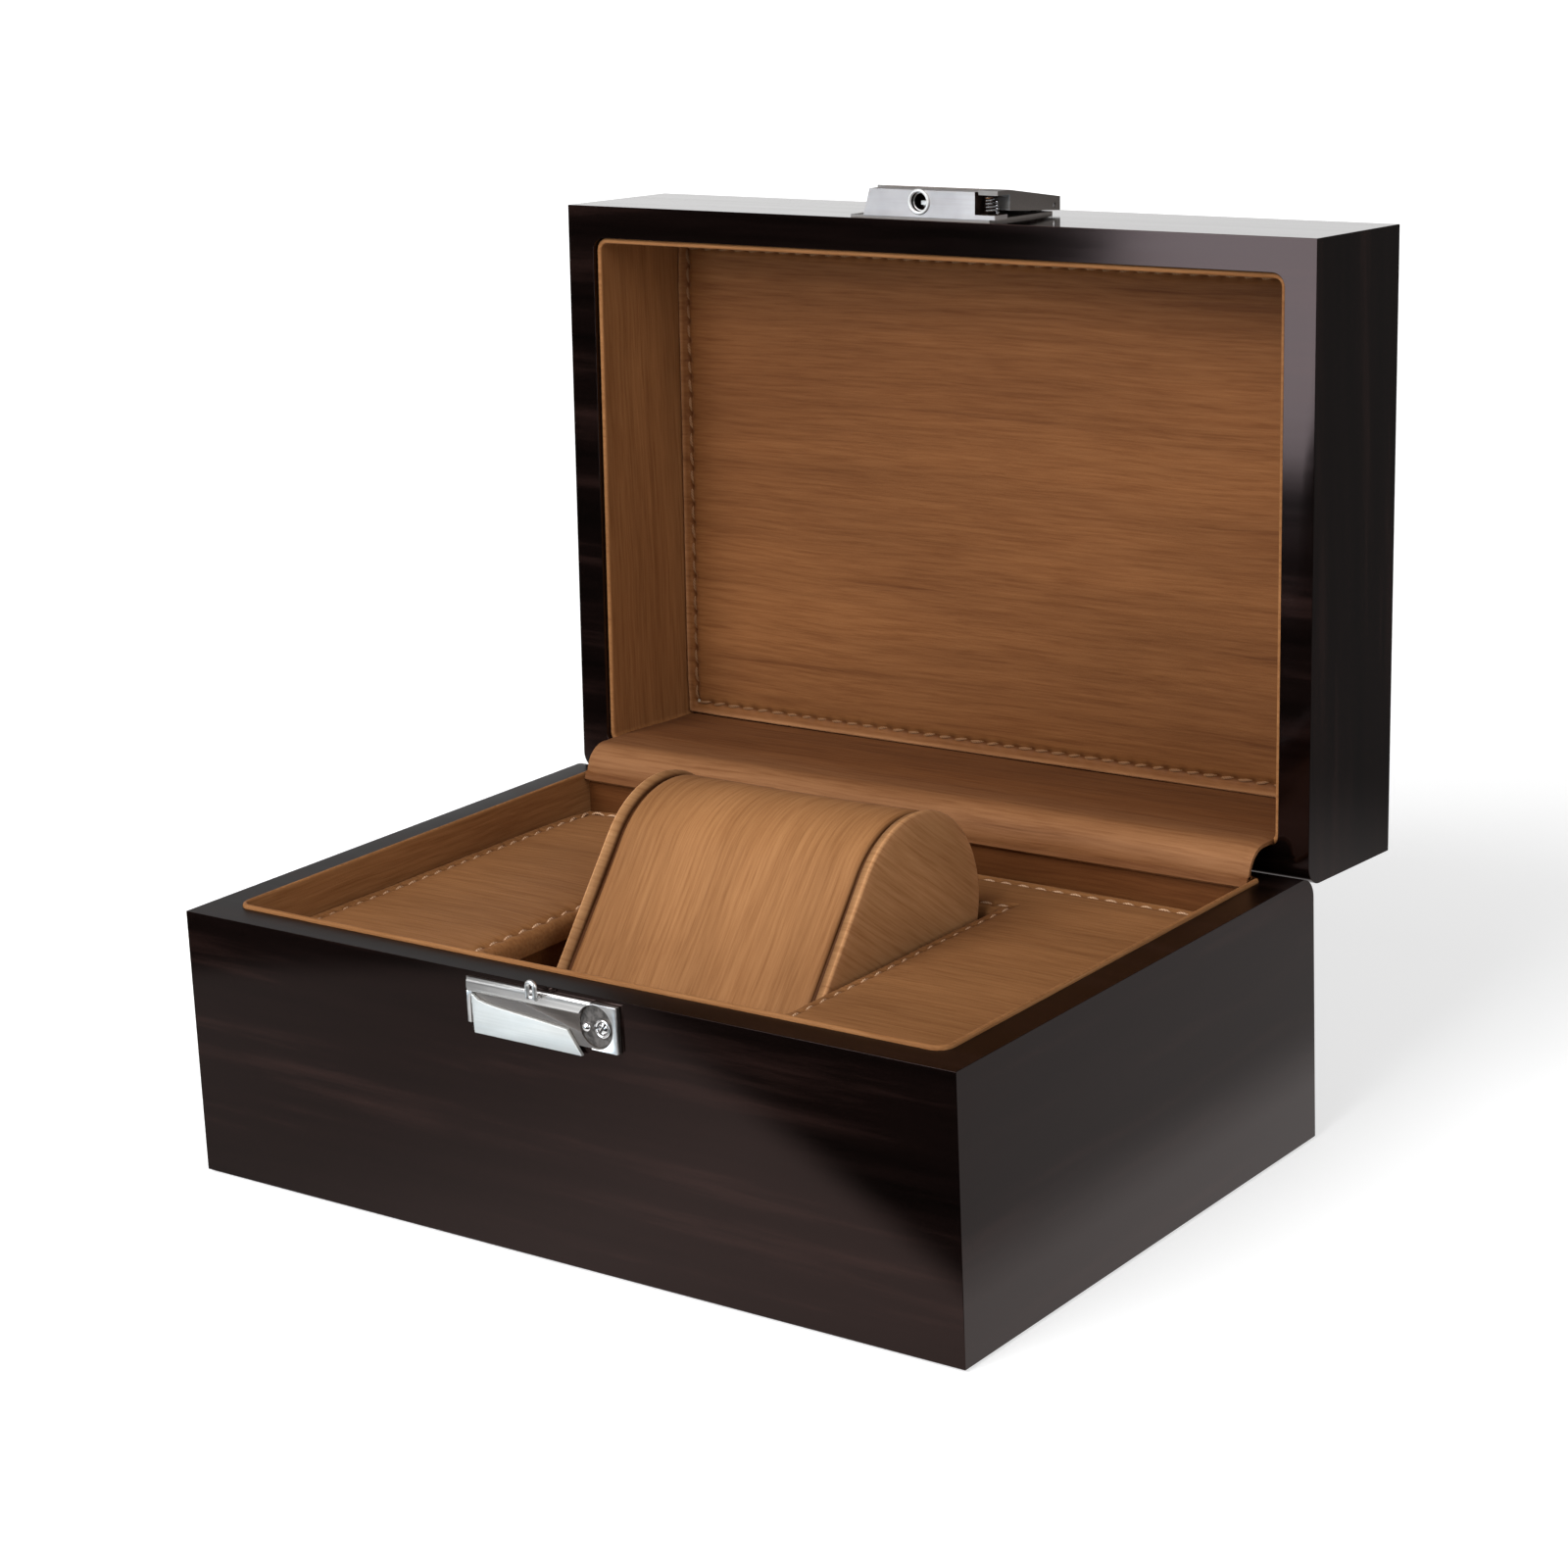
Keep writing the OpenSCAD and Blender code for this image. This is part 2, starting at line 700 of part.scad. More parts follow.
hinge_flap();
lid_front_wall();
lid_rear_wall();
lid_side_wall(-1);  // lid_left_wall
lid_side_wall(1);  // lid_right_wall
lid_top_panel();
lid_lining_long(-in_d, lining_t);  // lid_lining_front
lid_lining_long(in_d - lid_rear_lining_t, lid_rear_lining_t);  // lid_lining_rear
lid_lining_side(-1);  // lid_lining_left
lid_lining_side(1);  // lid_lining_right
lid_pad_board();
lid_pad();
lid_leaf(-1);  // lid_leaf_left
lid_leaf(1);  // lid_leaf_right
lid_leaf_screws();
lock_plate();
lock_housing();
lock_screws();
button_pin();
button_spring();
button_cover();
latch_tongue();
pillow_core();
pillow_wrap();
pillow_cap(pillow_x0);  // pillow_cap_left
pillow_cap(pillow_x1 - cap_t);  // pillow_cap_right
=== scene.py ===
import json
import math
import random

import bmesh
import bpy
import numpy as np
from mathutils import Matrix, Vector, noise


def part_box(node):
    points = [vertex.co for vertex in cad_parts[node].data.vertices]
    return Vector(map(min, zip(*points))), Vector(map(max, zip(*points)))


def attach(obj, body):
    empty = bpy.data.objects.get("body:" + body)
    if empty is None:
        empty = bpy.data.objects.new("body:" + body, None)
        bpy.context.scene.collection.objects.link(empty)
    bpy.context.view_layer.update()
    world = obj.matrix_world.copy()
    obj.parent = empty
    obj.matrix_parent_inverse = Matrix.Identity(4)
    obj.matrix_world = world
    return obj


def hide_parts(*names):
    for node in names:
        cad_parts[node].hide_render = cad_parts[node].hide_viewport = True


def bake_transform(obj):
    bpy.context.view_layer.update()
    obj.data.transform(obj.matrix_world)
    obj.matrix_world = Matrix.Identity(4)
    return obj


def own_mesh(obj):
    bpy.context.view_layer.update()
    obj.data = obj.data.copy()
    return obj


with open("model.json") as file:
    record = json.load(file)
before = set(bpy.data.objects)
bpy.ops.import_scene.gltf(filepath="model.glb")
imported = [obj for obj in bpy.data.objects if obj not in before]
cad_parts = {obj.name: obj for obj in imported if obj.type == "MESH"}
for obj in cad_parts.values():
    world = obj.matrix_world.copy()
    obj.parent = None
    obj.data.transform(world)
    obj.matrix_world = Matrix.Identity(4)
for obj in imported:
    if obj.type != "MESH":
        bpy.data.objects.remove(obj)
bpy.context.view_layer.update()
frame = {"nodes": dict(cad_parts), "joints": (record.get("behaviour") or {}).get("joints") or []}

MM = 0.001

# -------------------- the frame

hinge = next(j for j in frame["joints"] if j["name"] == "lid_hinge")
HINGE = Vector(hinge["pos_m"])
LID_OPEN = math.radians(hinge["range_deg"][1])
OPEN_LID = Matrix.Translation(HINGE) @ Matrix.Rotation(-LID_OPEN, 4, "X") @ Matrix.Translation(-HINGE)
CLOSE_LID = OPEN_LID.inverted()


def closed_box(node):
    """The corners of a lid node, as if the lid were closed."""
    points = np.array([CLOSE_LID @ v.co for v in frame["nodes"][node].data.vertices])
    return Vector(points.min(0)), Vector(points.max(0))


front_lo, front_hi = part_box("base_front_wall")
WALL_T = front_hi.y - front_lo.y
HALF_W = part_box("base_right_wall")[1].x
HALF_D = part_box("base_rear_wall")[1].y
IN_W = HALF_W - WALL_T
IN_D = HALF_D - WALL_T
BASE_Z0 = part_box("base_felt")[1].z
BASE_Z1 = front_hi.z
FLOOR_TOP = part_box("base_floor")[1].z
LID_Z0 = closed_box("lid_front_wall")[0].z
LID_CEILING, LID_Z1 = (corner.z for corner in closed_box("lid_top_panel"))

EDGE_R = 0.6 * MM
HINGE_EDGE_R = 5 * MM
BASE_CORNER_R = 3.6 * MM
LID_CORNER_R = 3 * MM

# -------------------- mesh helpers


def new_object(name, mesh, materials):
    obj = bpy.data.objects.new(name, mesh)
    bpy.context.scene.collection.objects.link(obj)
    for material in materials:
        mesh.materials.append(material)
    return obj


def smooth(mesh, angle):
    mesh.polygons.foreach_set("use_smooth", [True] * len(mesh.polygons))
    mesh.set_sharp_from_angle(angle=math.radians(angle))


def from_points(name, points, faces, materials, smooth_angle=40):
    """A closed mesh whose faces point outwards."""
    mesh = bpy.data.meshes.new(name)
    mesh.from_pydata([tuple(p) for p in points], [], faces)
    bm = bmesh.new()
    bm.from_mesh(mesh)
    bmesh.ops.recalc_face_normals(bm, faces=bm.faces)
    bm.to_mesh(mesh)
    bm.free()
    smooth(mesh, smooth_angle)
    return new_object(name, mesh, materials)


def apply_modifiers(obj):
    graph = bpy.context.evaluated_depsgraph_get()
    mesh = bpy.data.meshes.new_from_object(obj.evaluated_get(graph))
    obj.modifiers.clear()
    obj.data = mesh
    return obj


def arc(centre, radius, start, end, steps):
    """Points on an arc, angles in degrees."""
    angles = [math.radians(start + (end - start) * i / steps) for i in range(steps + 1)]
    return [(centre[0] + radius * math.cos(a), centre[1] + radius * math.sin(a)) for a in angles]


def circle(centre, across, up, radius, sides):
    """Points round a circle in the plane of two directions."""
    angles = [2 * math.pi * k / sides for k in range(sides)]
    return [centre + across * (radius * math.cos(a)) + up * (radius * math.sin(a)) for a in angles]


def rectangle(x0, x1, y0, y1):
    return [(x0, y0), (x1, y0), (x1, y1), (x0, y1)]


def rounded_rectangle(x0, x1, y0, y1, radius, steps=8):
    corners = rectangle(x0 + radius, x1 - radius, y0 + radius, y1 - radius)
    corners = corners[1:] + corners[:1]
    return [p for i, corner in enumerate(corners) for p in arc(corner, radius, 90 * i - 90, 90 * i, steps)]


def prism(name, outline, axis, low, high, materials=()):
    """A straight prism: outline is points in the plane across axis, in the order of the other two axes."""
    points = []
    for level in (low, high):
        for a, b in outline:
            points.append({"x": (level, a, b), "y": (a, level, b), "z": (a, b, level)}[axis])
    n = len(outline)
    faces = [tuple(range(n)), tuple(range(2 * n - 1, n - 1, -1))]
    faces += [(i, (i + 1) % n, n + (i + 1) % n, n + i) for i in range(n)]
    return from_points(name, points, faces, materials)


def tube_faces(count, sides, first=0, ends=True, closed=False):
    """The faces of a row of rings of points: the ends are covered, or the last ring joins the first."""
    faces = []
    for i in range(count if closed else count - 1):
        here, there = first + i * sides, first + (i + 1) % count * sides
        for k in range(sides):
            j = (k + 1) % sides
            faces.append((here + k, here + j, there + j, there + k))
    if ends:
        last = first + (count - 1) * sides
        faces += [tuple(reversed(range(first, first + sides))), tuple(range(last, last + sides))]
    return faces


def tube(name, rings, materials, ends=True, closed=False):
    points = [p for ring in rings for p in ring]
    return from_points(name, points, tube_faces(len(rings), len(rings[0]), 0, ends, closed), materials, 50)


def cut(obj, *cutters):
    for cutter in cutters:
        m = obj.modifiers.new("cut", "BOOLEAN")
        m.operation = "DIFFERENCE"
        m.solver = "EXACT"
        m.object = cutter
    apply_modifiers(obj)
    for cutter in cutters:
        bpy.data.objects.remove(cutter)
    return obj


def soften(obj, width, segments=3, angle=35):
    """Rounds the sharp edges, and keeps the flat faces flat in the shading."""
    b = obj.modifiers.new("edges", "BEVEL")
    b.width = width
    b.segments = segments
    b.limit_method = "ANGLE"
    b.angle_limit = math.radians(angle)
    b.use_clamp_overlap = True
    b.harden_normals = True
    return obj


def finish_piece(obj, body, slot, *nodes):
    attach(obj, body)
    if nodes:
        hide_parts(*nodes)
    return obj


def store(obj, name, values):
    """Keeps a number or a vector for each point of a mesh."""
    values = np.asarray(values, np.float32)
    kind, field = ("FLOAT_VECTOR", "vector") if values.ndim == 2 else ("FLOAT", "value")
    obj.data.attributes.new(name, kind, "POINT").data.foreach_set(field, values.ravel())


# -------------------- materials


class Nodes:
    """A short way to write the node tree of a material or a world. Where a method takes a value, it may be
    a number, a colour or another node's output."""

    def __init__(self, name, blocks=bpy.data.materials, shader="Principled BSDF"):
        self.owner = blocks.new(name)
        self.owner.use_nodes = True
        self.tree = self.owner.node_tree
        self.shader = self.tree.nodes[shader]

    def put(self, value, socket):
        if hasattr(value, "links"):
            self.tree.links.new(value, socket)
        elif socket.type == "RGBA":
            socket.default_value = (*value, 1)
        else:
            socket.default_value = value

    def add(self, kind, inputs=(), **settings):
        node = self.tree.nodes.new("ShaderNode" + kind)
        for key, value in settings.items():
            setattr(node, key, value)
        for key, value in dict(inputs).items():
            self.put(value, node.inputs[key])
        return node

    def set(self, **sockets):
        """Sets or links the shader's own sockets."""
        for key, value in sockets.items():
            self.put(value, self.shader.inputs[key.replace("_", " ")])

    def mix_in(self, fac, other):
        """Shows another shader instead of the first one, where fac is 1."""
        join = self.add("MixShader", {0: fac, 1: self.shader.outputs[0], 2: other.outputs[0]})
        output = next(node for node in self.tree.nodes if node.type.startswith("OUTPUT"))
        self.put(join.outputs[0], output.inputs["Surface"])

    def object_position(self):
        return self.add("TexCoord").outputs["Object"]

    def attribute(self, name, output="Fac"):
        return self.add("Attribute", attribute_name=name).outputs[output]

    def mapped(self, source, scale):
        return self.add("Mapping", {"Vector": source, "Scale": scale}).outputs["Vector"]

    def noise(self, vector, scale, detail=4.0, roughness=0.55):
        inputs = {"Vector": vector, "Scale": scale, "Detail": detail, "Roughness": roughness}
        return self.add("TexNoise", inputs).outputs["Fac"]

    def ramp(self, fac, stops):
        r = self.add("ValToRGB", {"Fac": fac})
        elements = r.color_ramp.elements
        while len(elements) < len(stops):
            elements.new(0.5)
        for element, (position, color) in zip(elements, stops):
            element.position = position
            element.color = (*color, 1)
        return r.outputs["Color"]

    def mix(self, fac, a, b, blend="MIX"):
        return self.add("Mix", {0: fac, 6: a, 7: b}, data_type="RGBA", blend_type=blend).outputs[2]

    def math(self, operation, a, b=0.0):
        return self.add("Math", {0: a, 1: b}, operation=operation).outputs[0]

    def value_range(self, fac, low, high, from_low=0.0, from_high=1.0):
        inputs = {"Value": fac, "From Min": from_low, "From Max": from_high, "To Min": low, "To Max": high}
        return self.add("MapRange", inputs).outputs["Result"]

    def soft_step(self, value, dark, bright):
        """0 at dark and 1 at bright."""
        inputs = {"Value": value, "From Min": dark, "From Max": bright}
        return self.add("MapRange", inputs, interpolation_type="SMOOTHSTEP").outputs["Result"]

    def bump(self, height, strength, distance, **normal):
        inputs = {"Height": height, "Strength": strength, "Distance": distance, **normal}
        return self.add("Bump", inputs).outputs["Normal"]


def grain_scale(axis, along, across):
    """A texture scale that stretches the pattern along one axis (0, 1 or 2)."""
    return tuple(along if i == axis else across for i in range(3))


WOOD_TONES = [(0.0, (0.0008, 0.0005, 0.0004)), (0.55, (0.0026, 0.0013, 0.0011)),
              (1.0, (0.0115, 0.0054, 0.0044))]


def lacquer_material(name, side_axis, polish=(0.075, 0.12), gloss=0.36):
    """Very dark brown wood with a faint streaky grain under a polished lacquer. The grain runs along the
    box's length, and on the two ends along side_axis."""
    n = Nodes(name)
    position = n.object_position()
    normal = n.add("SeparateXYZ", {0: n.add("NewGeometry").outputs["Normal"]})
    on_side = n.math("ABSOLUTE", normal.outputs["X"])
    streaks = []
    for axis in (0, side_axis):
        grain = n.noise(n.mapped(position, grain_scale(axis, 8, 130)), 1.0, 6.0, 0.6)
        streaks.append(n.ramp(grain, [(0.34, (0, 0, 0)), (0.70, (1, 1, 1))]))
    streak = n.mix(on_side, *streaks)
    n.set(Base_Color=n.ramp(streak, WOOD_TONES), Roughness=n.value_range(streak, *polish),
          Normal=n.bump(n.noise(position, 90.0, 2.0), 0.01, 0.0002),
          IOR=1.45, Specular_IOR_Level=gloss, Specular_Tint=(1.0, 0.61, 0.54))
    return n.owner


LEATHER = (0.290, 0.137, 0.054)
# A lighter tone for rubbed edges and folds: wear and a painted highlight.
EDGE_WEAR_AND_HIGHLIGHT = (0.47, 0.235, 0.110)
LEATHER_STREAKS = [(0.27, (0.58, 0.50, 0.44)), (0.36, (0.90, 0.88, 0.86)), (0.60, (1.03, 1.03, 1.03))]
LEATHER_PATCHES = [(0.30, (0.80, 0.77, 0.74)), (0.68, (1.13, 1.13, 1.13))]


def tinted(color, factor):
    """A leather tone: darker tones are also warmer."""
    return tuple(c * factor ** power for c, power in zip(color, (1.0, 1.3, 1.6)))


def leather_tones(color, dark, light):
    return [(0.30, tinted(color, dark)), (0.5, color), (0.70, tinted(color, light))]


def leather_material(name, axis, light=1.0, streaky=0.8, from_attribute=False):
    """Brown leather with a brushed grain that runs along one axis (0, 1 or 2). light scales the tone of the
    copy, which paints light and shade onto the pieces that use it. The seam attribute darkens it with painted
    shade in grooves and needle holes. The attribute for rubbed edges and folds lightens it: wear and a
    painted highlight."""
    n = Nodes(name)
    position = n.object_position()
    source = n.attribute("grain", "Vector") if from_attribute else position
    bend = n.add("TexNoise", {"Vector": source, "Scale": 17.0}).outputs["Color"]
    wavy = n.add("VectorMath", {0: bend, 1: (0.003, 0.003, 0.003), 2: source}, operation="MULTIPLY_ADD")
    wavy = wavy.outputs["Vector"]
    patch = n.noise(n.mapped(wavy, grain_scale(axis, 6, 30)), 1.0, 3.0, 0.5)
    streak = n.noise(n.mapped(wavy, grain_scale(axis, 7, 260)), 1.0, 4.0, 0.6)
    fibre = n.noise(n.mapped(wavy, grain_scale(axis, 60, 1400)), 1.0, 4.0, 0.62)

    color = n.ramp(fibre, leather_tones(tinted(LEATHER, light), 0.80, 1.14))
    wear_and_highlight = n.ramp(fibre, leather_tones(EDGE_WEAR_AND_HIGHLIGHT, 0.74, 1.12))
    color = n.mix(n.math("MULTIPLY", n.attribute("rub_and_highlight"), 0.5), color, wear_and_highlight)
    color = n.mix(streaky, color, n.ramp(streak, LEATHER_STREAKS), "MULTIPLY")
    color = n.mix(1.0, color, n.ramp(patch, LEATHER_PATCHES), "MULTIPLY")
    color = n.mix(n.attribute("seam"), color, tinted(LEATHER, 0.14))

    pores = n.add("TexVoronoi", {"Vector": position, "Scale": 2400.0}, feature="F1").outputs["Distance"]
    fine_normal = n.bump(pores, 0.14, 0.00010)
    normal = n.bump(n.math("ADD", fibre, streak), 0.4, 0.0002, Normal=fine_normal)
    n.set(Base_Color=color, Roughness=n.value_range(fibre, 0.66, 0.48), Normal=normal,
          Sheen_Weight=0.01, Sheen_Roughness=0.5, IOR=1.4, Specular_IOR_Level=0.09)
    return n.owner


def thread_material(name, dark, light):
    """Waxed thread: two twisted strands show as slanted bands."""
    n = Nodes(name)
    inputs = {"Vector": n.object_position(), "Scale": 900.0, "Distortion": 1.0}
    twist = n.add("TexWave", inputs, wave_type="BANDS", bands_direction="DIAGONAL").outputs["Fac"]
    n.set(Base_Color=n.ramp(twist, [(0.0, dark), (1.0, light)]), Normal=n.bump(twist, 0.4, 0.0001),
          Roughness=0.6, Specular_IOR_Level=0.2)
    return n.owner


BRUSHED = (60, 2400, 2400)
CAST = (300, 900, 900)


def chrome_material(name, roughness=0.07, color=(0.86, 0.85, 0.85), scratch=(40, 1200, 1200), dull=0.94,
                    patch=180.0):
    """Plating with fine scratches and patches of a duller tone."""
    n = Nodes(name)
    position = n.object_position()
    lines = n.noise(n.mapped(position, scratch), 1.0, 3.0)
    smear = n.noise(position, patch, 3.0)
    n.set(Base_Color=n.ramp(smear, [(0.35, tuple(dull * c for c in color)), (0.65, color)]),
          Roughness=n.value_range(lines, roughness, roughness * 2.2), Normal=n.bump(lines, 0.05, 0.0001),
          Metallic=1.0)
    return n.owner


def brass_material():
    n = Nodes("brass")
    position = n.object_position()
    tarnish = n.noise(position, 220.0, 5.0)
    lines = n.noise(n.mapped(position, (60, 900, 900)), 1.0)
    n.set(Base_Color=n.ramp(tarnish, [(0.3, (0.42, 0.29, 0.12)), (0.7, (0.74, 0.56, 0.28))]),
          Roughness=n.value_range(tarnish, 0.38, 0.2), Normal=n.bump(lines, 0.08, 0.0001), Metallic=1.0)
    return n.owner


def felt_material():
    n = Nodes("felt")
    fibre = n.noise(n.object_position(), 1400.0, 6.0, 0.7)
    n.set(Base_Color=n.ramp(fibre, [(0.3, (0.006, 0.006, 0.006)), (0.7, (0.035, 0.032, 0.032))]),
          Normal=n.bump(fibre, 0.6, 0.0004), Roughness=0.95, Sheen_Weight=0.5, Sheen_Roughness=0.6)
    return n.owner


def board_material():
    n = Nodes("board")
    fibre = n.noise(n.mapped(n.object_position(), (1, 1, 3)), 420.0, 6.0, 0.65)
    n.set(Base_Color=n.ramp(fibre, [(0.3, (0.22, 0.17, 0.115)), (0.7, (0.40, 0.32, 0.23))]),
          Normal=n.bump(fibre, 0.3, 0.0003), Roughness=0.85)
    return n.owner


def floor_material():
    """Matt white, lit a little from within like a light table. Glossy surfaces see a painted reflection
    instead: a white sheet under the object, dark round it like a studio, and dark in front on the right like
    a black flag."""
    n = Nodes("floor")
    position = n.object_position()
    mottle = n.noise(position, 3.0, 3.0)
    path = n.add("LightPath")
    split = n.add("SeparateXYZ", {0: position})
    x, y = split.outputs["X"], split.outputs["Y"]
    towards_back = n.value_range(y, 0.32, 0.9, 0.2, 1.6)
    glow = n.math("ADD", n.math("MULTIPLY", path.outputs["Is Camera Ray"], towards_back), 0.28)
    n.set(Base_Color=n.ramp(mottle, [(0.3, (0.62, 0.62, 0.62)), (0.7, (0.66, 0.66, 0.66))]), Roughness=1.0,
          Specular_IOR_Level=0.0, Emission_Color=(1, 1, 1), Emission_Strength=glow)

    # The painted reflection: bright under the object, dimmer beside it on the right, to the left and behind,
    # and dark in front past the flag's edge and further out.
    to_painted_flag_edge = n.math("SUBTRACT", n.math("MULTIPLY", x, 0.524), n.math("MULTIPLY", y, 0.852))
    to_corner = n.math("ADD", y, n.math("MULTIPLY", x, 0.57))
    beside = n.value_range(n.soft_step(x, 0.14, 0.105), 0.42, 1.0)
    from_left = n.value_range(n.soft_step(x, -0.12, 0.05), 0.5, 1.15)
    behind = n.value_range(n.soft_step(y, 0.34, 0.18), 0.2, 1.0)
    sheet = beside
    for edge in (from_left, behind, n.soft_step(to_painted_flag_edge, 0.134, 0.121),
                 n.soft_step(to_corner, -0.296, -0.274), n.soft_step(x, -0.75, -0.3)):
        sheet = n.math("MULTIPLY", sheet, edge)
    painted_reflection = n.add("Emission", {"Strength": n.value_range(sheet, 0.03, 1.0)})
    n.mix_in(path.outputs["Is Glossy Ray"], painted_reflection)
    return n.owner


LACQUER = lacquer_material("lacquer", 1)
LACQUER_LID = lacquer_material("lacquer_lid", 2)
LACQUER_RIM = lacquer_material("lacquer_rim", 1, (0.28, 0.34), 0.16)
# Copies of one leather. The number after the grain axis scales each copy's tone to paint on the light and
# shade its pieces get: the lid panel, the hinge flap and the rear lining are darker copies, the pillow's caps
# a lighter one.
LEATHER_X = leather_material("leather_x", 0, 0.79, 0.6)
LEATHER_Y = leather_material("leather_y", 1, 0.92)
LEATHER_Z = leather_material("leather_z", 2, 0.76)
LEATHER_LID = leather_material("leather_lid", 0, 0.50, 0.9)
LEATHER_FLAP = leather_material("leather_flap", 0, 0.42, 1.0)
LEATHER_WRAP = leather_material("leather_wrap", 0, 0.87, 0.35, True)
LEATHER_CAP = leather_material("leather_cap", 0, 1.25, 0.4, True)
LEATHER_SHADED = leather_material("leather_shaded", 0, 0.36)
THREAD_DARK = thread_material("thread_dark", (0.08, 0.034, 0.013), (0.25, 0.12, 0.052))
THREAD_TAN = thread_material("thread_tan", (0.30, 0.16, 0.085), (0.58, 0.37, 0.23))
CHROME = chrome_material("chrome")
CHROME_SOFT = chrome_material("chrome_soft", 0.22, (0.80, 0.79, 0.78))
CHROME_SATIN = chrome_material("chrome_satin", 0.3, (0.44, 0.40, 0.39), BRUSHED, 0.8, 90.0)
CHROME_BLADE = chrome_material("chrome_blade", 0.4, (0.60, 0.605, 0.59), BRUSHED, 0.95)
CHROME_ROUGH = chrome_material("chrome_rough", 0.34, (0.21, 0.185, 0.17), CAST, 0.35, 900.0)
CHROME_RIM = chrome_material("chrome_rim", 0.4, (0.70, 0.69, 0.68))
# Dull, nearly black metal: painted shade inside the lock's socket and side pocket.
POCKET_SHADE = chrome_material("pocket", 0.45, (0.050, 0.030, 0.024), CAST, 0.5, 700.0)
CHROME_DARK = chrome_material("chrome_dark", 0.3, (0.22, 0.195, 0.18), BRUSHED)
BRASS = brass_material()
FELT = felt_material()
BOARD = board_material()

# -------------------- wooden case

KNUCKLE_ROOM = 2.3 * MM
CUT_PAST = 20 * MM


def hinge_rooms():
    """Cutters for the two hinges, in the rear walls of the closed box."""
    cutters = []
    for side in ("left", "right"):
        leaf_lo, leaf_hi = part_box("base_leaf_" + side)
        x0, x1 = leaf_lo.x - 0.1 * MM, leaf_hi.x + 0.1 * MM
        low, high = BASE_Z1 - 1 * MM, LID_Z0 + 1 * MM
        y0, y1 = leaf_lo.y - 0.1 * MM, HALF_D + MM
        cutters.append(prism("leaf_room", rectangle(y0, y1, low, high), "x", x0, x1))
        round_room = arc((HINGE.y, HINGE.z), KNUCKLE_ROOM, 0, 352.5, 47)
        cutters.append(prism("knuckle_room", round_room, "x", x0 - 0.2 * MM, x1 + 0.2 * MM))
    return cutters


def give_rim(case, level):
    """The flat rim at the seam has a softer polish than the walls."""
    case.data.materials.append(LACQUER_RIM)
    for face in case.data.polygons:
        if abs(face.normal.z) > 0.7 and abs(face.center.z - level) < EDGE_R:
            face.material_index = 1


def wooden_case(name, side, material, corner_r, cavity):
    """A case from its side outline, with the corner radius and the two levels of its cavity."""
    case = prism(name, side, "x", -HALF_W, HALF_W, [material])
    plan = rounded_rectangle(-IN_W, IN_W, -IN_D, IN_D, corner_r)
    cut(case, prism("cavity", plan, "z", *cavity), *hinge_rooms())
    soften(case, EDGE_R)
    return apply_modifiers(case)


def base_case():
    r = HINGE_EDGE_R
    side = [(-HALF_D, BASE_Z0), (HALF_D, BASE_Z0)]
    side += arc((HALF_D - r, BASE_Z1 - r), r, 0, 90, 12) + [(-HALF_D, BASE_Z1)]
    case = wooden_case("base_case", side, LACQUER, BASE_CORNER_R, (FLOOR_TOP, BASE_Z1 + CUT_PAST))
    give_rim(case, BASE_Z1)
    finish_piece(case, "base", "lacquer", "base_front_wall", "base_rear_wall",
                 "base_left_wall", "base_right_wall", "base_floor")


def lid_case():
    r = HINGE_EDGE_R
    side = [(HALF_D, LID_Z1), (-HALF_D, LID_Z1), (-HALF_D, LID_Z0)]
    side += arc((HALF_D - r, LID_Z0 + r), r, -90, 0, 12)
    case = wooden_case("lid_case", side, LACQUER_LID, LID_CORNER_R, (LID_Z0 - CUT_PAST, LID_CEILING))
    case.data.transform(OPEN_LID)
    finish_piece(case, "lid", "lacquer", "lid_front_wall", "lid_rear_wall",
                 "lid_left_wall", "lid_right_wall", "lid_top_panel")


base_case()
lid_case()

# -------------------- linings

LINING_PLAY = 0.08 * MM
LINED_W = IN_W - LINING_PLAY
LINED_D = IN_D - LINING_PLAY


def inner_path(x0, x1, y0, y1, radius, open_rear=False):
    """Points round the inside of the box, from the rear left corner by the front, with inward normals."""
    centres = rectangle(x0 + radius, x1 - radius, y0 + radius, y1 - radius)
    path = [(x0, y1, 1, 0)] if open_rear else []
    for corner in (0, 1) if open_rear else (3, 0, 1, 2):
        cx, cy = centres[corner]
        for i in range(7):
            a = math.radians(180 + 90 * corner + 15 * i)
            path.append((cx + radius * math.cos(a), cy + radius * math.sin(a), -math.cos(a), -math.sin(a)))
    return path + ([(x1, y1, -1, 0)] if open_rear else [])


def lip_profile(thickness, z0, z1, up=1):
    """A board with a rounded lip at z1; up is -1 where the lip points down."""
    r = thickness / 2
    lip = [(r - r * math.cos(math.radians(a)), z1 - up * (r - r * math.sin(math.radians(a))))
           for a in range(0, 181, 20)]
    return [(0, z0)] + lip + [(thickness, z0)]


def lining(name, profile, path, closed, side_material):
    """A board swept along a flat path. Profile points are (inwards, z); path points are (x, y, nx, ny), with
    the normal pointing to the inside of the box. The grain runs along each wall."""
    rings = [[(x + nx * d, y + ny * d, z) for d, z in profile] for x, y, nx, ny in path]
    ring = tube(name, rings, [LEATHER_X, side_material], not closed, closed)
    for face in ring.data.polygons:
        face.material_index = int(abs(face.normal.x) > 0.7)
    return ring


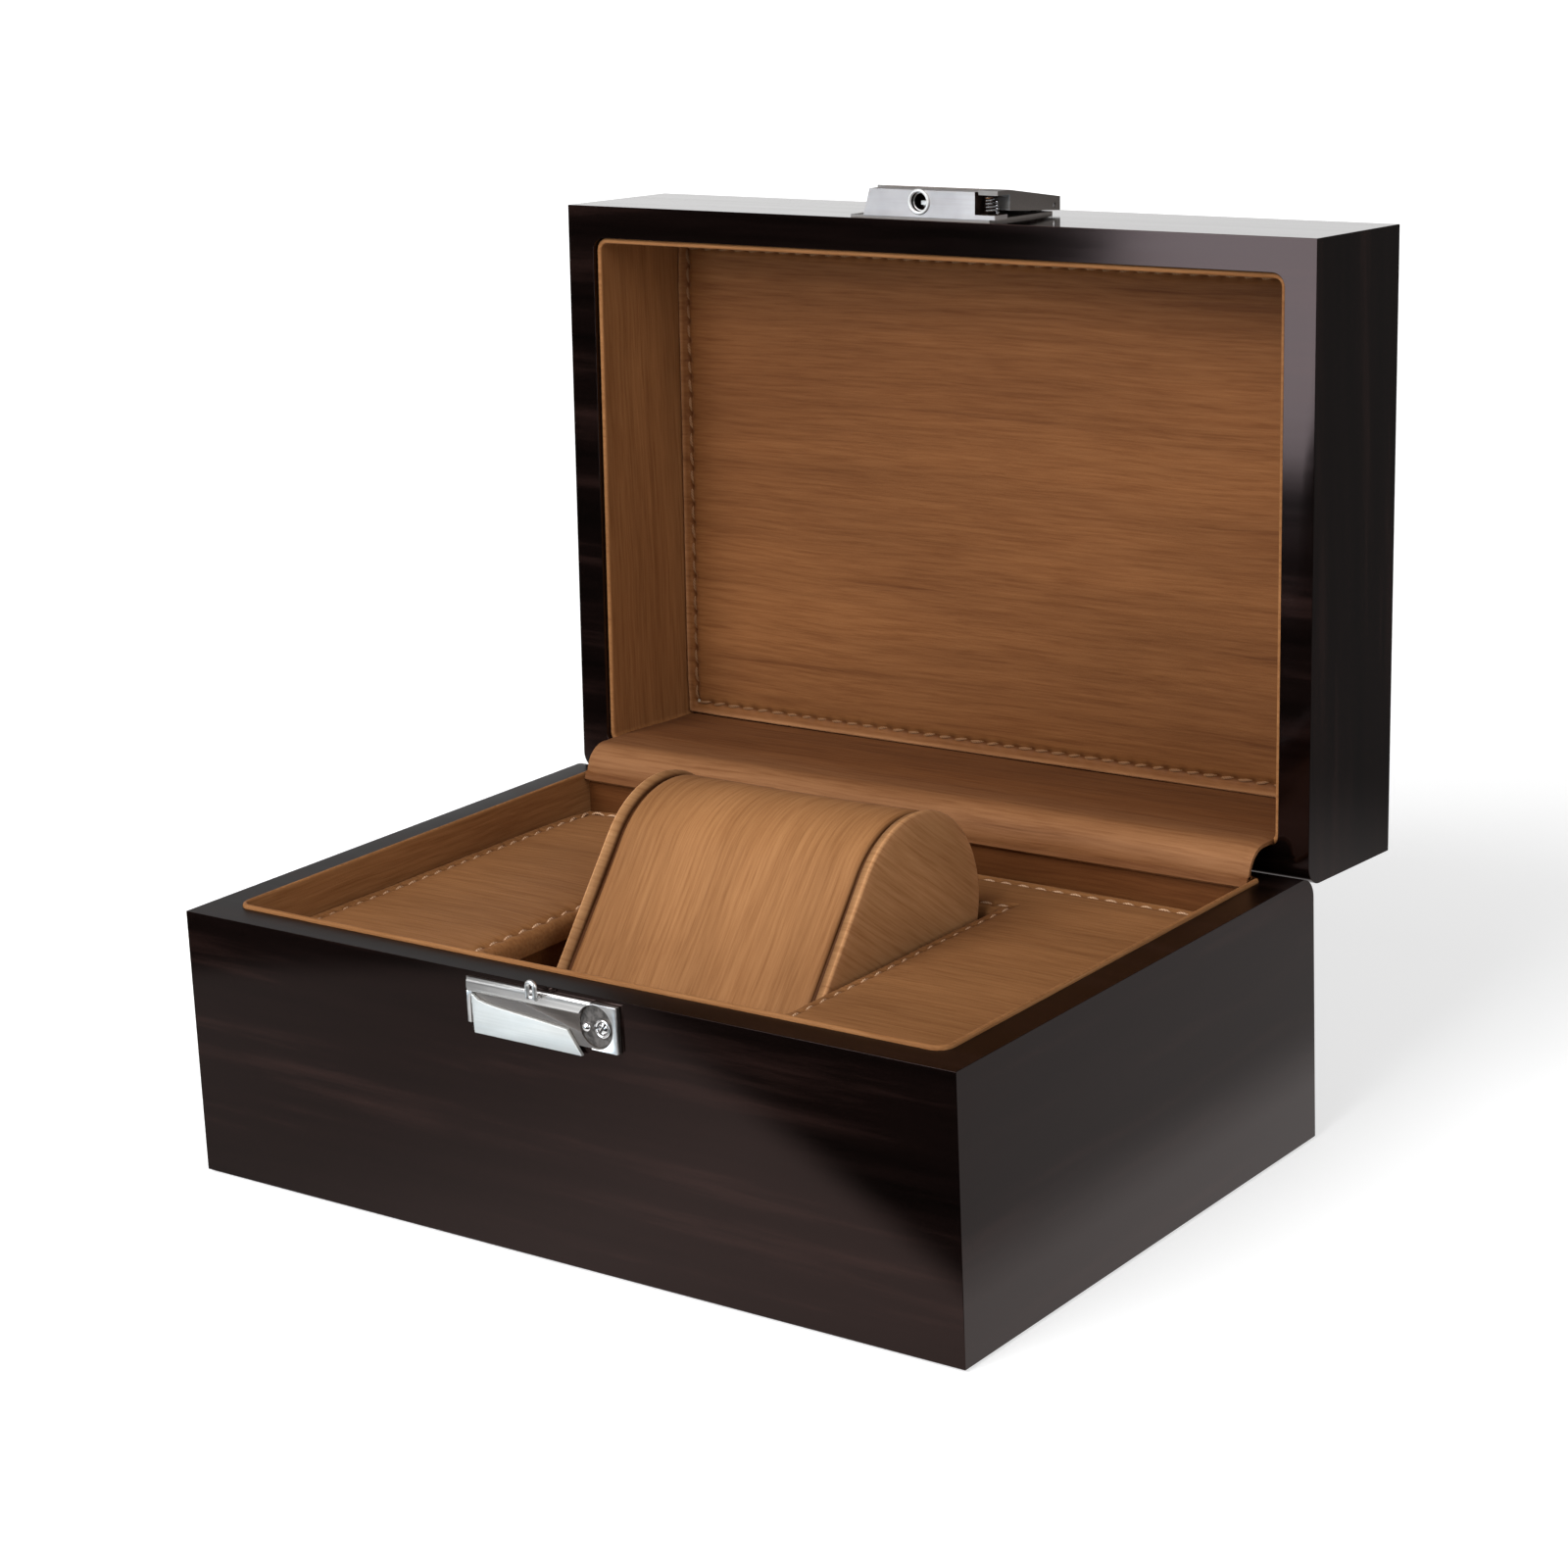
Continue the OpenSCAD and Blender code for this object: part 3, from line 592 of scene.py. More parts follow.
def base_linings():
    lo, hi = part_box("base_lining_front")
    profile = lip_profile(hi.y - lo.y, lo.z, hi.z)
    path = inner_path(-LINED_W, LINED_W, -LINED_D, IN_D - LID_CORNER_R, BASE_CORNER_R, True)
    ring = lining("base_lining", profile, path, False, LEATHER_Y)
    finish_piece(ring, "base", "leather", "base_lining_front", "base_lining_left", "base_lining_right")

    lo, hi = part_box("base_lining_rear")
    bulge = 0.5 * MM
    face_y = lo.y + 0.9 * MM
    side = [(face_y, lo.z)]
    for i in range(13):
        f = i / 12
        side.append((face_y - bulge * math.sin(math.pi * f), lo.z + (hi.z - 0.6 * MM - lo.z) * f))
    side += [(lo.y + 1.6 * MM, hi.z), (hi.y, hi.z), (hi.y, lo.z)]
    # The rear lining takes the darkest copy of the leather: painted shade under the hinge flap.
    rear = prism("base_lining_back", side, "x", lo.x, hi.x, [LEATHER_SHADED])
    finish_piece(rear, "base", "leather", "base_lining_rear")


def lid_linings():
    lo, hi = closed_box("lid_lining_front")
    profile = lip_profile(hi.y - lo.y, hi.z, lo.z, up=-1)
    path = inner_path(-LINED_W, LINED_W, -LINED_D, LINED_D, LID_CORNER_R)
    ring = lining("lid_lining", profile, path, True, LEATHER_Z)
    ring.data.transform(OPEN_LID)
    finish_piece(ring, "lid", "leather", "lid_lining_front", "lid_lining_rear",
                 "lid_lining_left", "lid_lining_right")


base_linings()
lid_linings()

# -------------------- stitched pads

STITCH_PITCH = 4.6 * MM
STITCH_R = 0.36 * MM
SEAM_IN = 3.2 * MM


def stops(edges, step, fine, band):
    """Grid lines between the edges: fine within band of each edge, step apart elsewhere."""
    lines = []
    for a, b in zip(edges, edges[1:]):
        near = [fine * i for i in range(int(band / fine))]
        count = max(1, round((b - a - 2 * band) / step))
        middle = [a + band + (b - a - 2 * band) * i / count for i in range(count + 1)]
        lines += [a + d for d in near] + middle + [b - d for d in reversed(near)]
    return sorted({round(v, 7) for v in lines})


def stitch_count(length):
    """An odd number of stitches, so that one sits at the middle of the row."""
    return 2 * round((length / STITCH_PITCH - 1) / 2) + 1


def seam_lines(rect, inset):
    """The four rows of a seam inside (or outside) a rectangle: each as its axis, level, and two ends."""
    x0, x1, y0, y1 = rect
    x0, x1, y0, y1 = x0 + inset, x1 - inset, y0 + inset, y1 - inset
    return [("y", y0, x0, x1), ("y", y1, x0, x1), ("x", x0, y0, y1), ("x", x1, y0, y1)]


def seam_effect(x, y, rows):
    """How deep the stitches pull the leather in at a point, and how much painted shade darkens it there, in
    the groove and the needle holes.
    """
    pull = dark = 0.0
    for axis, level, start, end in rows:
        across, along = (y, x) if axis == "y" else (x, y)
        u = (across - level) / MM
        if abs(u) > 4 or not start - MM < along < end + MM:
            continue
        pitch = (end - start) / stitch_count(end - start)
        hole = (0.5 + 0.5 * math.cos(2 * math.pi * (along - start) / pitch)) ** 4
        pull = max(pull, (0.4 + 0.6 * hole) * math.exp(-(u / 0.95) ** 2))
        dark = max(dark, (0.25 + 0.75 * hole) * math.exp(-(u / 0.55) ** 2))
    return pull, dark


def pad_height(x, y, outer, window, shape):
    """Height of the leather above its seam level: rolled edges and a soft crown."""
    x0, x1, y0, y1 = outer
    gaps = [x - x0, x1 - x, y - y0, y1 - y]
    folds = []
    if window:
        wx0, wx1, wy0, wy1 = window
        folds = [math.hypot(max(wx0 - x, x - wx1, 0), max(wy0 - y, y - wy1, 0))]
    height = shape["crown"]
    for d, roll in [(g, shape["roll"]) for g in gaps] + [(g, shape["fold"]) for g in folds]:
        if d < roll:
            height -= roll - math.sqrt(max(roll * roll - (roll - d) ** 2, 0))
        height -= shape["crown"] * math.exp(-max(d - shape["seam"], 0) / shape["spread"]) / 2
    return height + shape["wave"] * noise.noise(Vector((x * 34, y * 34, 1.7)))


def stitched_pad(name, outer, window, level, bottom, shape, face_up, materials):
    """A leather pad over a board: a height field with rolled edges, and skirts down to the bottom levels
    of its outer edge and of its window."""
    x0, x1, y0, y1 = outer
    xs = [x0] + ([window[0], window[1]] if window else []) + [x1]
    ys = [y0] + ([window[2], window[3]] if window else []) + [y1]
    xs = stops(xs, 0.75 * MM, 0.3 * MM, 5 * MM)
    ys = stops(ys, 0.75 * MM, 0.3 * MM, 5 * MM)
    rows = seam_lines(outer, SEAM_IN) + (seam_lines(window, -SEAM_IN) if window else [])

    def kept(i, j):
        x, y = (xs[i] + xs[i + 1]) / 2, (ys[j] + ys[j + 1]) / 2
        return not (window and window[0] < x < window[1] and window[2] < y < window[3])

    sign = 1 if face_up else -1
    points, seam, rub_and_highlight = [], [], []
    for y in ys:
        for x in xs:
            pull, dark = seam_effect(x, y, rows)
            height = pad_height(x, y, outer, window, shape) - shape["groove"] * pull
            points.append((x, y, level + sign * height))
            # Painted shade along the stitch rows, and a lighter rolled edge: wear and a painted highlight.
            seam.append(dark * shape["dark"])
            edge = min(x - x0, x1 - x, y - y0, y1 - y)
            rub_and_highlight.append(math.exp(-((edge - 0.5 * MM) / (0.7 * MM)) ** 2))
    n = len(xs)
    faces = [(j * n + i, j * n + i + 1, (j + 1) * n + i + 1, (j + 1) * n + i)
             for j in range(len(ys) - 1) for i in range(n - 1) if kept(i, j)]
    count = {}
    for f in faces:
        for a, b in zip(f, f[1:] + f[:1]):
            key = (min(a, b), max(a, b))
            count[key] = count.get(key, 0) + 1
    rim = [(a, b) for f in faces for a, b in zip(f, f[1:] + f[:1]) if count[(min(a, b), max(a, b))] == 1]
    base_of = {}
    for v in sorted({v for edge in rim for v in edge}):
        x, y = points[v][0], points[v][1]
        on_outside = x in (xs[0], xs[-1]) or y in (ys[0], ys[-1])
        base_of[v] = len(points)
        points.append((x, y, bottom[0] if on_outside else bottom[1]))
        seam.append(0.0)
        rub_and_highlight.append(0.0)
    faces += [(b, a, base_of[a], base_of[b]) for a, b in rim]
    obj = from_points(name, points, faces, materials, 60)
    store(obj, "seam", seam)
    store(obj, "rub_and_highlight", rub_and_highlight)
    bm = bmesh.new()
    bm.from_mesh(obj.data)
    loose = [v for v in bm.verts if not v.link_faces]
    bmesh.ops.delete(bm, geom=loose, context="VERTS")
    bm.to_mesh(obj.data)
    bm.free()
    return obj


def stitch_row(points, faces, row, level, up, lift, rng):
    """Adds a row of short slanted stitches, each dipping into the leather at its ends."""
    axis, at, low, high = row
    start = Vector((low, at, level) if axis == "y" else (at, low, level))
    along = Vector((1, 0, 0) if axis == "y" else (0, 1, 0))
    across = up.cross(along).normalized()
    count = stitch_count(high - low)
    pitch = (high - low) / count
    rings, sides = 7, 6
    for s in range(count):
        lean = math.radians(rng.uniform(5, 14))
        size = rng.uniform(0.96, 1.04)
        direction = along * math.cos(lean) + across * math.sin(lean)
        beside = up.cross(direction)
        middle = start + along * (pitch * (s + 0.5))
        base = len(points)
        for i in range(rings):
            t = -1 + 2 * i / (rings - 1)
            centre = middle + direction * (t * 0.39 * pitch * size) + up * (lift - 0.5 * MM * t * t)
            r = STITCH_R * size * math.sqrt(max(1 - 0.82 * t * t * t * t, 0.05))
            points.extend(circle(centre, beside, up * 0.8, r, sides))
        faces.extend(tube_faces(rings, sides, base))


# dark scales the painted shade along the stitch rows.
TRAY_SHAPE = {"crown": 1.5 * MM, "roll": 1.6 * MM, "fold": 3.0 * MM, "groove": 0.8 * MM, "seam": SEAM_IN,
              "spread": 7 * MM, "wave": 0.22 * MM, "dark": 0.6}
LID_SHAPE = {"crown": 1.0 * MM, "roll": 0.9 * MM, "fold": 0.0, "groove": 0.8 * MM, "seam": SEAM_IN,
             "spread": 5 * MM, "wave": 0.15 * MM, "dark": 0.85}


def stitches(name, rows, level, up, lift, seed, material):
    rng = random.Random(seed)
    points, faces = [], []
    for row in rows:
        stitch_row(points, faces, row, level, up, lift, rng)
    return from_points(name, points, faces, [material])


def tray():
    lo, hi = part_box("tray_pad")
    window_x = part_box("well_right_wall")[0].x
    turn_in = 0.45 * MM
    window = (turn_in - window_x, window_x - turn_in,
              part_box("well_front_wall")[1].y + turn_in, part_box("well_rear_wall")[0].y - turn_in)
    outer = (lo.x, hi.x, lo.y, hi.y)
    level = hi.z - 0.6 * MM
    bottom = (lo.z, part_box("tray_board")[0].z)
    pad = stitched_pad("tray_leather", outer, window, level, bottom, TRAY_SHAPE, True, [LEATHER_X])
    finish_piece(pad, "base", "leather", "tray_pad")
    rows = seam_lines(outer, SEAM_IN) + seam_lines(window, -SEAM_IN)
    thread = stitches("tray_stitches", rows, level, Vector((0, 0, 1)), 0.4 * MM, 7, THREAD_TAN)
    finish_piece(thread, "base", "leather_edge")


def lid_panel():
    lo, hi = closed_box("lid_pad")
    tuck = 0.2 * MM
    half = closed_box("lid_lining_right")[0].x - tuck
    outer = (-half, half, closed_box("lid_lining_front")[1].y + tuck, hi.y + tuck)
    level = lo.z + 0.65 * MM
    pad = stitched_pad("lid_leather", outer, None, level, (hi.z, hi.z), LID_SHAPE, False, [LEATHER_LID])
    pad.data.transform(OPEN_LID)
    finish_piece(pad, "lid", "leather", "lid_pad")
    rows = seam_lines(outer, SEAM_IN)
    thread = stitches("lid_stitches", rows, level, Vector((0, 0, -1)), 0.3 * MM, 11, THREAD_DARK)
    thread.data.transform(OPEN_LID)
    finish_piece(thread, "lid", "leather_edge")


tray()
lid_panel()

# -------------------- hinge flap

FLAP_T = 0.8 * MM


def hinge_flap():
    lo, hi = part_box("hinge_flap")
    r = 7 * MM
    top = hi.z
    foot_y = lo.y - 0.1 * MM
    front_y = foot_y - 1.2 * MM
    line = [(foot_y + 0.5 * MM, lo.z - 0.2 * MM), (foot_y - 0.4 * MM, lo.z + 0.1 * MM)]
    line += arc((front_y + r, top - r), r, 194, 90, 16)
    folded = len(line)
    pad_lo, pad_hi = closed_box("lid_pad")
    under_pad = OPEN_LID @ Vector((0, pad_hi.y + 0.25 * MM, pad_lo.z + 1 * MM))
    start_y = line[-1][0]
    steps = 14
    for i in range(1, steps + 1):
        f = i / steps
        line.append((start_y + (under_pad.y - start_y) * f, top + (under_pad.z - top) * f))
    count = 80
    half = hi.x + 0.35 * MM
    n = len(line)
    # The front fold is lightened: wear and a painted highlight where it bends.
    points, rub_and_highlight = [], []
    for layer in (0, 1):
        for i in range(count + 1):
            x = -half + 2 * half * i / count
            near_end = min(1.0, (half - abs(x)) / (2.5 * MM))
            for k, (y, z) in enumerate(line):
                before, after = line[max(k - 1, 0)], line[min(k + 1, n - 1)]
                tangent = Vector((0, after[0] - before[0], after[1] - before[1])).normalized()
                outward = Vector((0, -tangent.z, tangent.y))
                swell = 0.28 * MM * noise.noise(Vector((x * 22, y * 60, 4.0)))
                p = Vector((x, y, z)) + outward * (swell - 0.35 * MM * (1 - near_end) ** 2 - layer * FLAP_T)
                points.append(p)
                rub_and_highlight.append(0.75 * max(0.0, 1 - abs(k - folded * 0.6) / (folded * 0.6)))
    size = (count + 1) * n
    faces = []
    for i in range(count):
        for k in range(n - 1):
            a = i * n + k
            faces.append((a, a + 1, a + n + 1, a + n))
            faces.append((size + a, size + a + n, size + a + n + 1, size + a + 1))
    for i in range(count):
        for k in (0, n - 1):
            faces.append((i * n + k, (i + 1) * n + k, size + (i + 1) * n + k, size + i * n + k))
    for i in (0, count):
        for k in range(n - 1):
            faces.append((i * n + k, size + i * n + k, size + i * n + k + 1, i * n + k + 1))
    flap = from_points("flap", points, faces, [LEATHER_FLAP], 70)
    store(flap, "rub_and_highlight", rub_and_highlight)
    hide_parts("hinge_flap")
    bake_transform(flap)


hinge_flap()

# -------------------- pillow

CAP_T = 2.6 * MM
GROOVE = 0.9 * MM


def pillow_outline(grow, big_steps=56, small_steps=22, line_steps=14):
    """The pillow's side outline, in (y, z): a large circle and a small one with their common tangents."""
    core_lo, core_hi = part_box("pillow_core")
    inset = 1.22 * MM
    big_r, small_r = 22.8 * MM, 8 * MM
    big = Vector((core_hi.y + inset - big_r, core_hi.z + inset - big_r))
    small = Vector((core_lo.y - inset + small_r, core_lo.z - inset + small_r))
    v = big - small
    lean = math.degrees(math.atan2(v.y, v.x))
    wrap = math.degrees(math.acos((small_r - big_r) / v.length))
    first = arc(big, big_r + grow, lean + wrap, lean - wrap, big_steps)
    second = arc(small, small_r + grow, lean - wrap, lean + wrap - 360, small_steps)

    def between(a, b):
        return [(a[0] + (b[0] - a[0]) * i / line_steps, a[1] + (b[1] - a[1]) * i / line_steps)
                for i in range(1, line_steps)]

    ring = first + between(first[-1], second[0]) + second + between(second[-1], first[0])
    underside = len(first) + line_steps // 2
    return ring[underside:] + ring[:underside]


def pillow_leather():
    lo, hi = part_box("pillow_wrap")
    centre = (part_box("pillow_core")[0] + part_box("pillow_core")[1]) / 2
    edge = 1.6 * MM
    steps = 64
    xs = [lo.x + edge * (1 - math.cos(math.radians(a))) for a in range(0, 90, 15)]
    xs += [lo.x + edge + (hi.x - lo.x - 2 * edge) * i / steps for i in range(steps + 1)]
    xs += [hi.x - edge * (1 - math.cos(math.radians(a))) for a in range(75, -1, -15)]
    xs = [lo.x - GROOVE] + xs + [hi.x + GROOVE]
    outline = pillow_outline(0)
    lengths = np.cumsum([0] + [math.dist(a, b) for a, b in zip(outline, outline[1:])])
    # The seam list darkens the wrap with painted shade: fully in the groove by each cap, and fading out
    # across the rolled edge.
    rings, grain, seam = [], [], []
    for x in xs:
        d = min(x - lo.x, hi.x - x, edge)
        in_groove = d < 0
        share = 1 - max(d, 0) / edge
        tuck = 1.0 * MM * (1 - math.sqrt(1 - share ** 2)) + (0.1 * MM if in_groove else 0)
        ring = []
        for (y, z), s in zip(outline, lengths):
            out = Vector((0, y - centre.y, z - centre.z)).normalized()
            swell = 0.3 * MM * noise.noise(Vector((x * 26, y * 26, z * 26)))
            ring.append(Vector((x, y, z)) + out * (swell * (1 - share) - tuck))
            grain.append((s, x, 0.3))
            seam.append(0.95 if in_groove else 0.8 * share ** 4)
        rings.append(ring)
    wrap = tube("pillow_leather", rings, [LEATHER_WRAP])
    store(wrap, "grain", grain)
    store(wrap, "seam", seam)
    finish_piece(wrap, "pillow", "leather", "pillow_wrap")


def pillow_cap(side, node):
    """A raised end cap with a rolled edge; side is -1 on the left and 1 on the right."""
    lo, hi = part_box(node)
    inner = hi.x if side < 0 else lo.x
    round_r = 0.75 * MM
    levels = [(0, -0.6 * MM), (0.3 * MM, 0.1 * MM)]
    levels += [(CAP_T - round_r + round_r * math.sin(math.radians(a)),
                0.6 * MM - round_r * (1 - math.cos(math.radians(a)))) for a in range(0, 91, 15)]
    levels.append((CAP_T + 0.06 * MM, -2.5 * MM))
    # The rolled edge is lightened (wear and a painted highlight), and the levels at the cap's foot are
    # darkened with painted shade.
    rings, rub_and_highlight, seam = [], [], []
    for k, (depth, grow) in enumerate(levels):
        rings.append([Vector((inner + side * depth, y, z)) for y, z in pillow_outline(grow)])
        rub_and_highlight += [0.8 if 2 < k < len(levels) - 1 else 0.0] * len(rings[-1])
        seam += [(0.9, 0.5, 0.25)[k] if k < 3 else 0.0] * len(rings[-1])
    edge_ring = rings[-1]
    middle = sum(edge_ring, Vector()) / len(edge_ring)
    for share in (0.75, 0.5, 0.25, 0.04):
        crown = side * 0.35 * MM * (1 - share * share)
        rings.append([middle + (p - middle) * share + Vector((crown, 0, 0)) for p in edge_ring])
        rub_and_highlight += [0.0] * len(edge_ring)
        seam += [0.0] * len(edge_ring)
    cap = tube(node + "_leather", rings, [LEATHER_CAP])
    points = [p for ring in rings for p in ring]
    store(cap, "grain", [(p.y * 0.8 - p.z * 0.6, p.y * 0.6 + p.z * 0.8, 0.1 + side) for p in points])
    store(cap, "rub_and_highlight", rub_and_highlight)
    store(cap, "seam", seam)
    finish_piece(cap, "pillow", "leather", node)


pillow_leather()
pillow_cap(-1, "pillow_cap_left")
pillow_cap(1, "pillow_cap_right")

# -------------------- latch

TO_RIGHT = Vector((1, 0, 0))
TO_BACK = Vector((0, 1, 0))
UP = Vector((0, 0, 1))


def dress(names, material, edge=0.0, segments=2):
    for name in names:
        node = frame["nodes"][name]
        node.data.materials.clear()
        node.data.materials.append(material)
        smooth(node.data, 35)
        if edge:
            soften(node, edge, segments, 30)


def join_pieces(name, pieces):
    """One object from several closed pieces, with each one's material."""
    bm = bmesh.new()
    materials = []
    for piece in pieces:
        apply_modifiers(piece)
        own = list(piece.data.materials)
        first = len(bm.faces)
        bm.from_mesh(piece.data)
        bm.faces.ensure_lookup_table()
        for face in bm.faces[first:]:
            m = own[face.material_index]
            if m not in materials:
                materials.append(m)
            face.material_index = materials.index(m)
        bpy.data.objects.remove(piece)
    mesh = bpy.data.meshes.new(name)
    bm.to_mesh(mesh)
    bm.free()
    obj = new_object(name, mesh, materials)
    smooth(mesh, 35)
    return obj


def slab(outline, back, front, material, edge):
    """A stamped plate that faces the front, with softened edges. The outline is points (x, z)."""
    return soften(prism("slab", outline, "y", front, back, [material]), edge, 2, 30)


def rod(path, radius, material, sides=12):
    """A round wire along a path of points."""
    rings = []
    for i, p in enumerate(path):
        ahead = (path[min(i + 1, len(path) - 1)] - path[max(i - 1, 0)]).normalized()
        side = ahead.cross(TO_BACK).normalized()
        rings.append(circle(p, side, ahead.cross(side), radius, sides))
    return tube("rod", rings, [material])


def dome(centre, radius, height, material, sides=24, levels=5):
    """A round rivet head that faces the front."""
    rings = []
    for i in range(levels + 1):
        a = math.radians(88 * i / levels)
        middle = centre - TO_BACK * (height * math.sin(a))
        rings.append(circle(middle, TO_RIGHT, UP, radius * math.cos(a), sides))
    return tube("dome", rings, [material])


RECESS_X = 14.7 * MM
RECESS_R = 4.6 * MM


def recess_outline(z, radius=RECESS_R):
    return arc((RECESS_X, z), radius, 0, 352.5, 47)


def catch_plate():
    """The plate with its round recess, a strip at its left, a bar along its top and a block at its right."""
    lo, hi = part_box("catch_plate")
    field_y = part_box("catch_blade")[1].y
    rivet_lo, rivet_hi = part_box("catch_rivet")
    recess_z = (rivet_lo.z + rivet_hi.z) / 2 + 0.3 * MM
    recess_y = field_y + 0.4 * MM
    inlay_y = field_y + 0.2 * MM
    bar_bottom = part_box("catch_lug")[0].z
    block_x = 13.6 * MM

    plate = prism("plate", rectangle(lo.x, hi.x, lo.z, hi.z), "y", field_y, hi.y, [CHROME_DARK])
    cut(plate, prism("hole", recess_outline(recess_z), "y", lo.y - 1 * MM, recess_y + 0.1 * MM))
    inside = recess_outline(recess_z, RECESS_R - 0.05 * MM)
    recess_floor = prism("recess_floor", inside, "y", recess_y, recess_y + 0.1 * MM, [CHROME_ROUGH])
    strip = slab([(lo.x, lo.z), (lo.x + 0.9 * MM, lo.z), (lo.x + 1.0 * MM, bar_bottom - 1.3 * MM),
                  (lo.x + 1.5 * MM, bar_bottom), (lo.x, bar_bottom)], field_y + 0.1 * MM, field_y - 0.25 * MM,
                 CHROME_SOFT, 0.08 * MM)
    z0, z1, y0 = bar_bottom, hi.z, lo.y
    section = [(inlay_y, z0), (y0 + 0.35 * MM, z0), (y0 + 0.1 * MM, z0 + 0.35 * MM),
               (y0 - 0.05 * MM, z0 + 0.9 * MM), (y0 - 0.05 * MM, z1 - 1.0 * MM),
               (y0 + 0.12 * MM, z1 - 0.4 * MM), (y0 + 0.5 * MM, z1), (inlay_y, z1)]
    bar = prism("bar", section, "x", lo.x + 0.6 * MM, block_x + 0.6 * MM, [CHROME_SOFT])
    cut(bar, prism("hole", recess_outline(recess_z), "y", lo.y - 1 * MM, recess_y))
    soften(bar, 0.08 * MM, 2, 20)
    bite = math.degrees(math.acos((block_x - RECESS_X) / RECESS_R))
    bitten = arc((RECESS_X, recess_z), RECESS_R, bite, -bite, 32)
    block = slab(rectangle(block_x, hi.x, lo.z, hi.z) + bitten, inlay_y, y0, CHROME_SOFT, 0.12 * MM)

    screw_x, screw_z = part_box("catch_screws")[1].x - 1.8 * MM, recess_z - 0.4 * MM
    around = arc((screw_x, screw_z), 1.7 * MM, -170, 170, 20)
    washer = [Vector((x, recess_y - 0.22 * MM, z)) for x, z in around]
    pieces = [plate, recess_floor, strip, bar, block, rod(washer, 0.3 * MM, CHROME)]
    finish_piece(join_pieces("catch_body", pieces), "base", "chrome", "catch_plate")

    head = dome(Vector((rivet_lo.x + 0.4 * MM, recess_y, recess_z - 0.7 * MM)), 1.1 * MM, 0.9 * MM, CHROME)
    finish_piece(head, "base", "chrome", "catch_rivet")
    screw = dome(Vector((screw_x, recess_y, screw_z)), 1.25 * MM, 0.5 * MM, CHROME)
    slot = prism("slot", rectangle(-0.24 * MM, 0.24 * MM, -2 * MM, 2 * MM), "y", -1 * MM, 1 * MM)
    slot.data.transform(Matrix.Translation((screw_x, recess_y - 0.75 * MM, screw_z)) @
                        Matrix.Rotation(math.radians(35), 4, "Y"))
    cut(screw, slot)
    finish_piece(screw, "base", "chrome")


def catch_blade():
    lo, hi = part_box("catch_blade")
    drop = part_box("catch_plate")[0].z
    shoulder = (7.5 * MM, drop + 3.2 * MM)
    top = [(lo.x, hi.z)]
    for i in range(1, 14):
        f = i / 14
        x = lo.x + (shoulder[0] - lo.x) * f
        curl = 1.15 * MM * math.exp(-f * 9)
        top.append((x, shoulder[1] + (drop + 4.9 * MM - shoulder[1]) * (1 - f * f * 0.35 - f * 0.65) + curl))
    outline = [(lo.x + 0.4 * MM, lo.z), (hi.x, lo.z), shoulder] + top[::-1]
    blade = slab(outline, hi.y, lo.y, CHROME_BLADE, 0.14 * MM)
    finish_piece(join_pieces("catch_finger", [blade]), "base", "chrome", "catch_blade")


def catch_lug():
    """A wire eye on a small foot, a little to the right of the box's middle."""
    lo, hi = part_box("catch_lug")
    wire = 0.54 * MM
    half = (hi.x - lo.x) / 2 - wire
    off = 0.25 * MM
    y = lo.y + wire + 0.1 * MM
    foot_z = lo.z + 2.2 * MM
    spring = hi.z - wire - half
    middle_z = (foot_z + spring) / 2
    line = [(off - half, foot_z), (off - half, middle_z)] + arc((off, spring), half, 180, 0, 12)
    line += [(off + half, middle_z), (off + half, foot_z)]
    side, low, high = half + 0.2 * MM, lo.z + 1.7 * MM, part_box("catch_plate")[1].z - 0.2 * MM
    outline = rectangle(off - side, off + side, low, high)
    foot = slab(outline, hi.y, y - 0.2 * MM, CHROME_SOFT, 0.25 * MM)
    eye = rod([Vector((x, y, z)) for x, z in line], wire, CHROME_SOFT)
    finish_piece(join_pieces("catch_eye", [eye, foot]), "base", "chrome", "catch_lug")


def lock_socket():
    """The rim of the lock's socket and the C of its spring clip, drawn for the closed lid."""
    centre = Vector((0.2 * MM, -HALF_D - 4 * MM, closed_box("lock_housing")[0].z))
    rim = (2.5, 0.42, -0.05, 0, 360, CHROME_RIM)
    clip = (2.02, 0.2, 0.9, 60, 300, CHROME_SOFT)
    pieces = []
    for radius, wire, depth, first, last, material in (rim, clip):
        rings = []
        for a in range(first, last + 1, 15):
            out = Vector((math.cos(math.radians(a)), math.sin(math.radians(a)), 0))
            rings.append(circle(centre + out * (radius * MM) + UP * (depth * MM), out, UP, wire * MM, 10))
        pieces.append(tube("ring", rings, [material], last - first < 360))
    socket = join_pieces("lock_socket_rim", pieces)
    socket.data.transform(OPEN_LID)
    finish_piece(socket, "lid", "chrome")


def press_spring():
    """The spring under the button's free end, in a mesh of its own."""
    node = frame["nodes"]["button_spring"]
    mesh = node.data.copy()
    mesh.transform(node.matrix_world)
    spring = new_object("press_spring", mesh, [CHROME])
    finish_piece(spring, "lid", "chrome", "button_spring")
    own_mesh(spring)


def paint_pocket_shade():
    """Painted shade: the faces inside the lock's socket and its side pocket get a dull, nearly black metal.
    """
    node = frame["nodes"]["lock_housing"]
    node.data.materials.append(POCKET_SHADE)
    lo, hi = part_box("lock_housing")
    inside = 0.4 * MM
    for face in node.data.polygons:
        p = node.matrix_world @ face.center
        if p.x > -5 * MM and all(lo[i] + inside < p[i] < hi[i] - inside for i in range(3)):
            face.material_index = 1


catch_plate()
catch_blade()
catch_lug()
lock_socket()
dress(["catch_screws"], CHROME_SOFT)
dress(["lock_housing"], CHROME_SATIN, 0.22 * MM, 3)
paint_pocket_shade()
dress(["latch_tongue"], CHROME_RIM, 0.15 * MM)
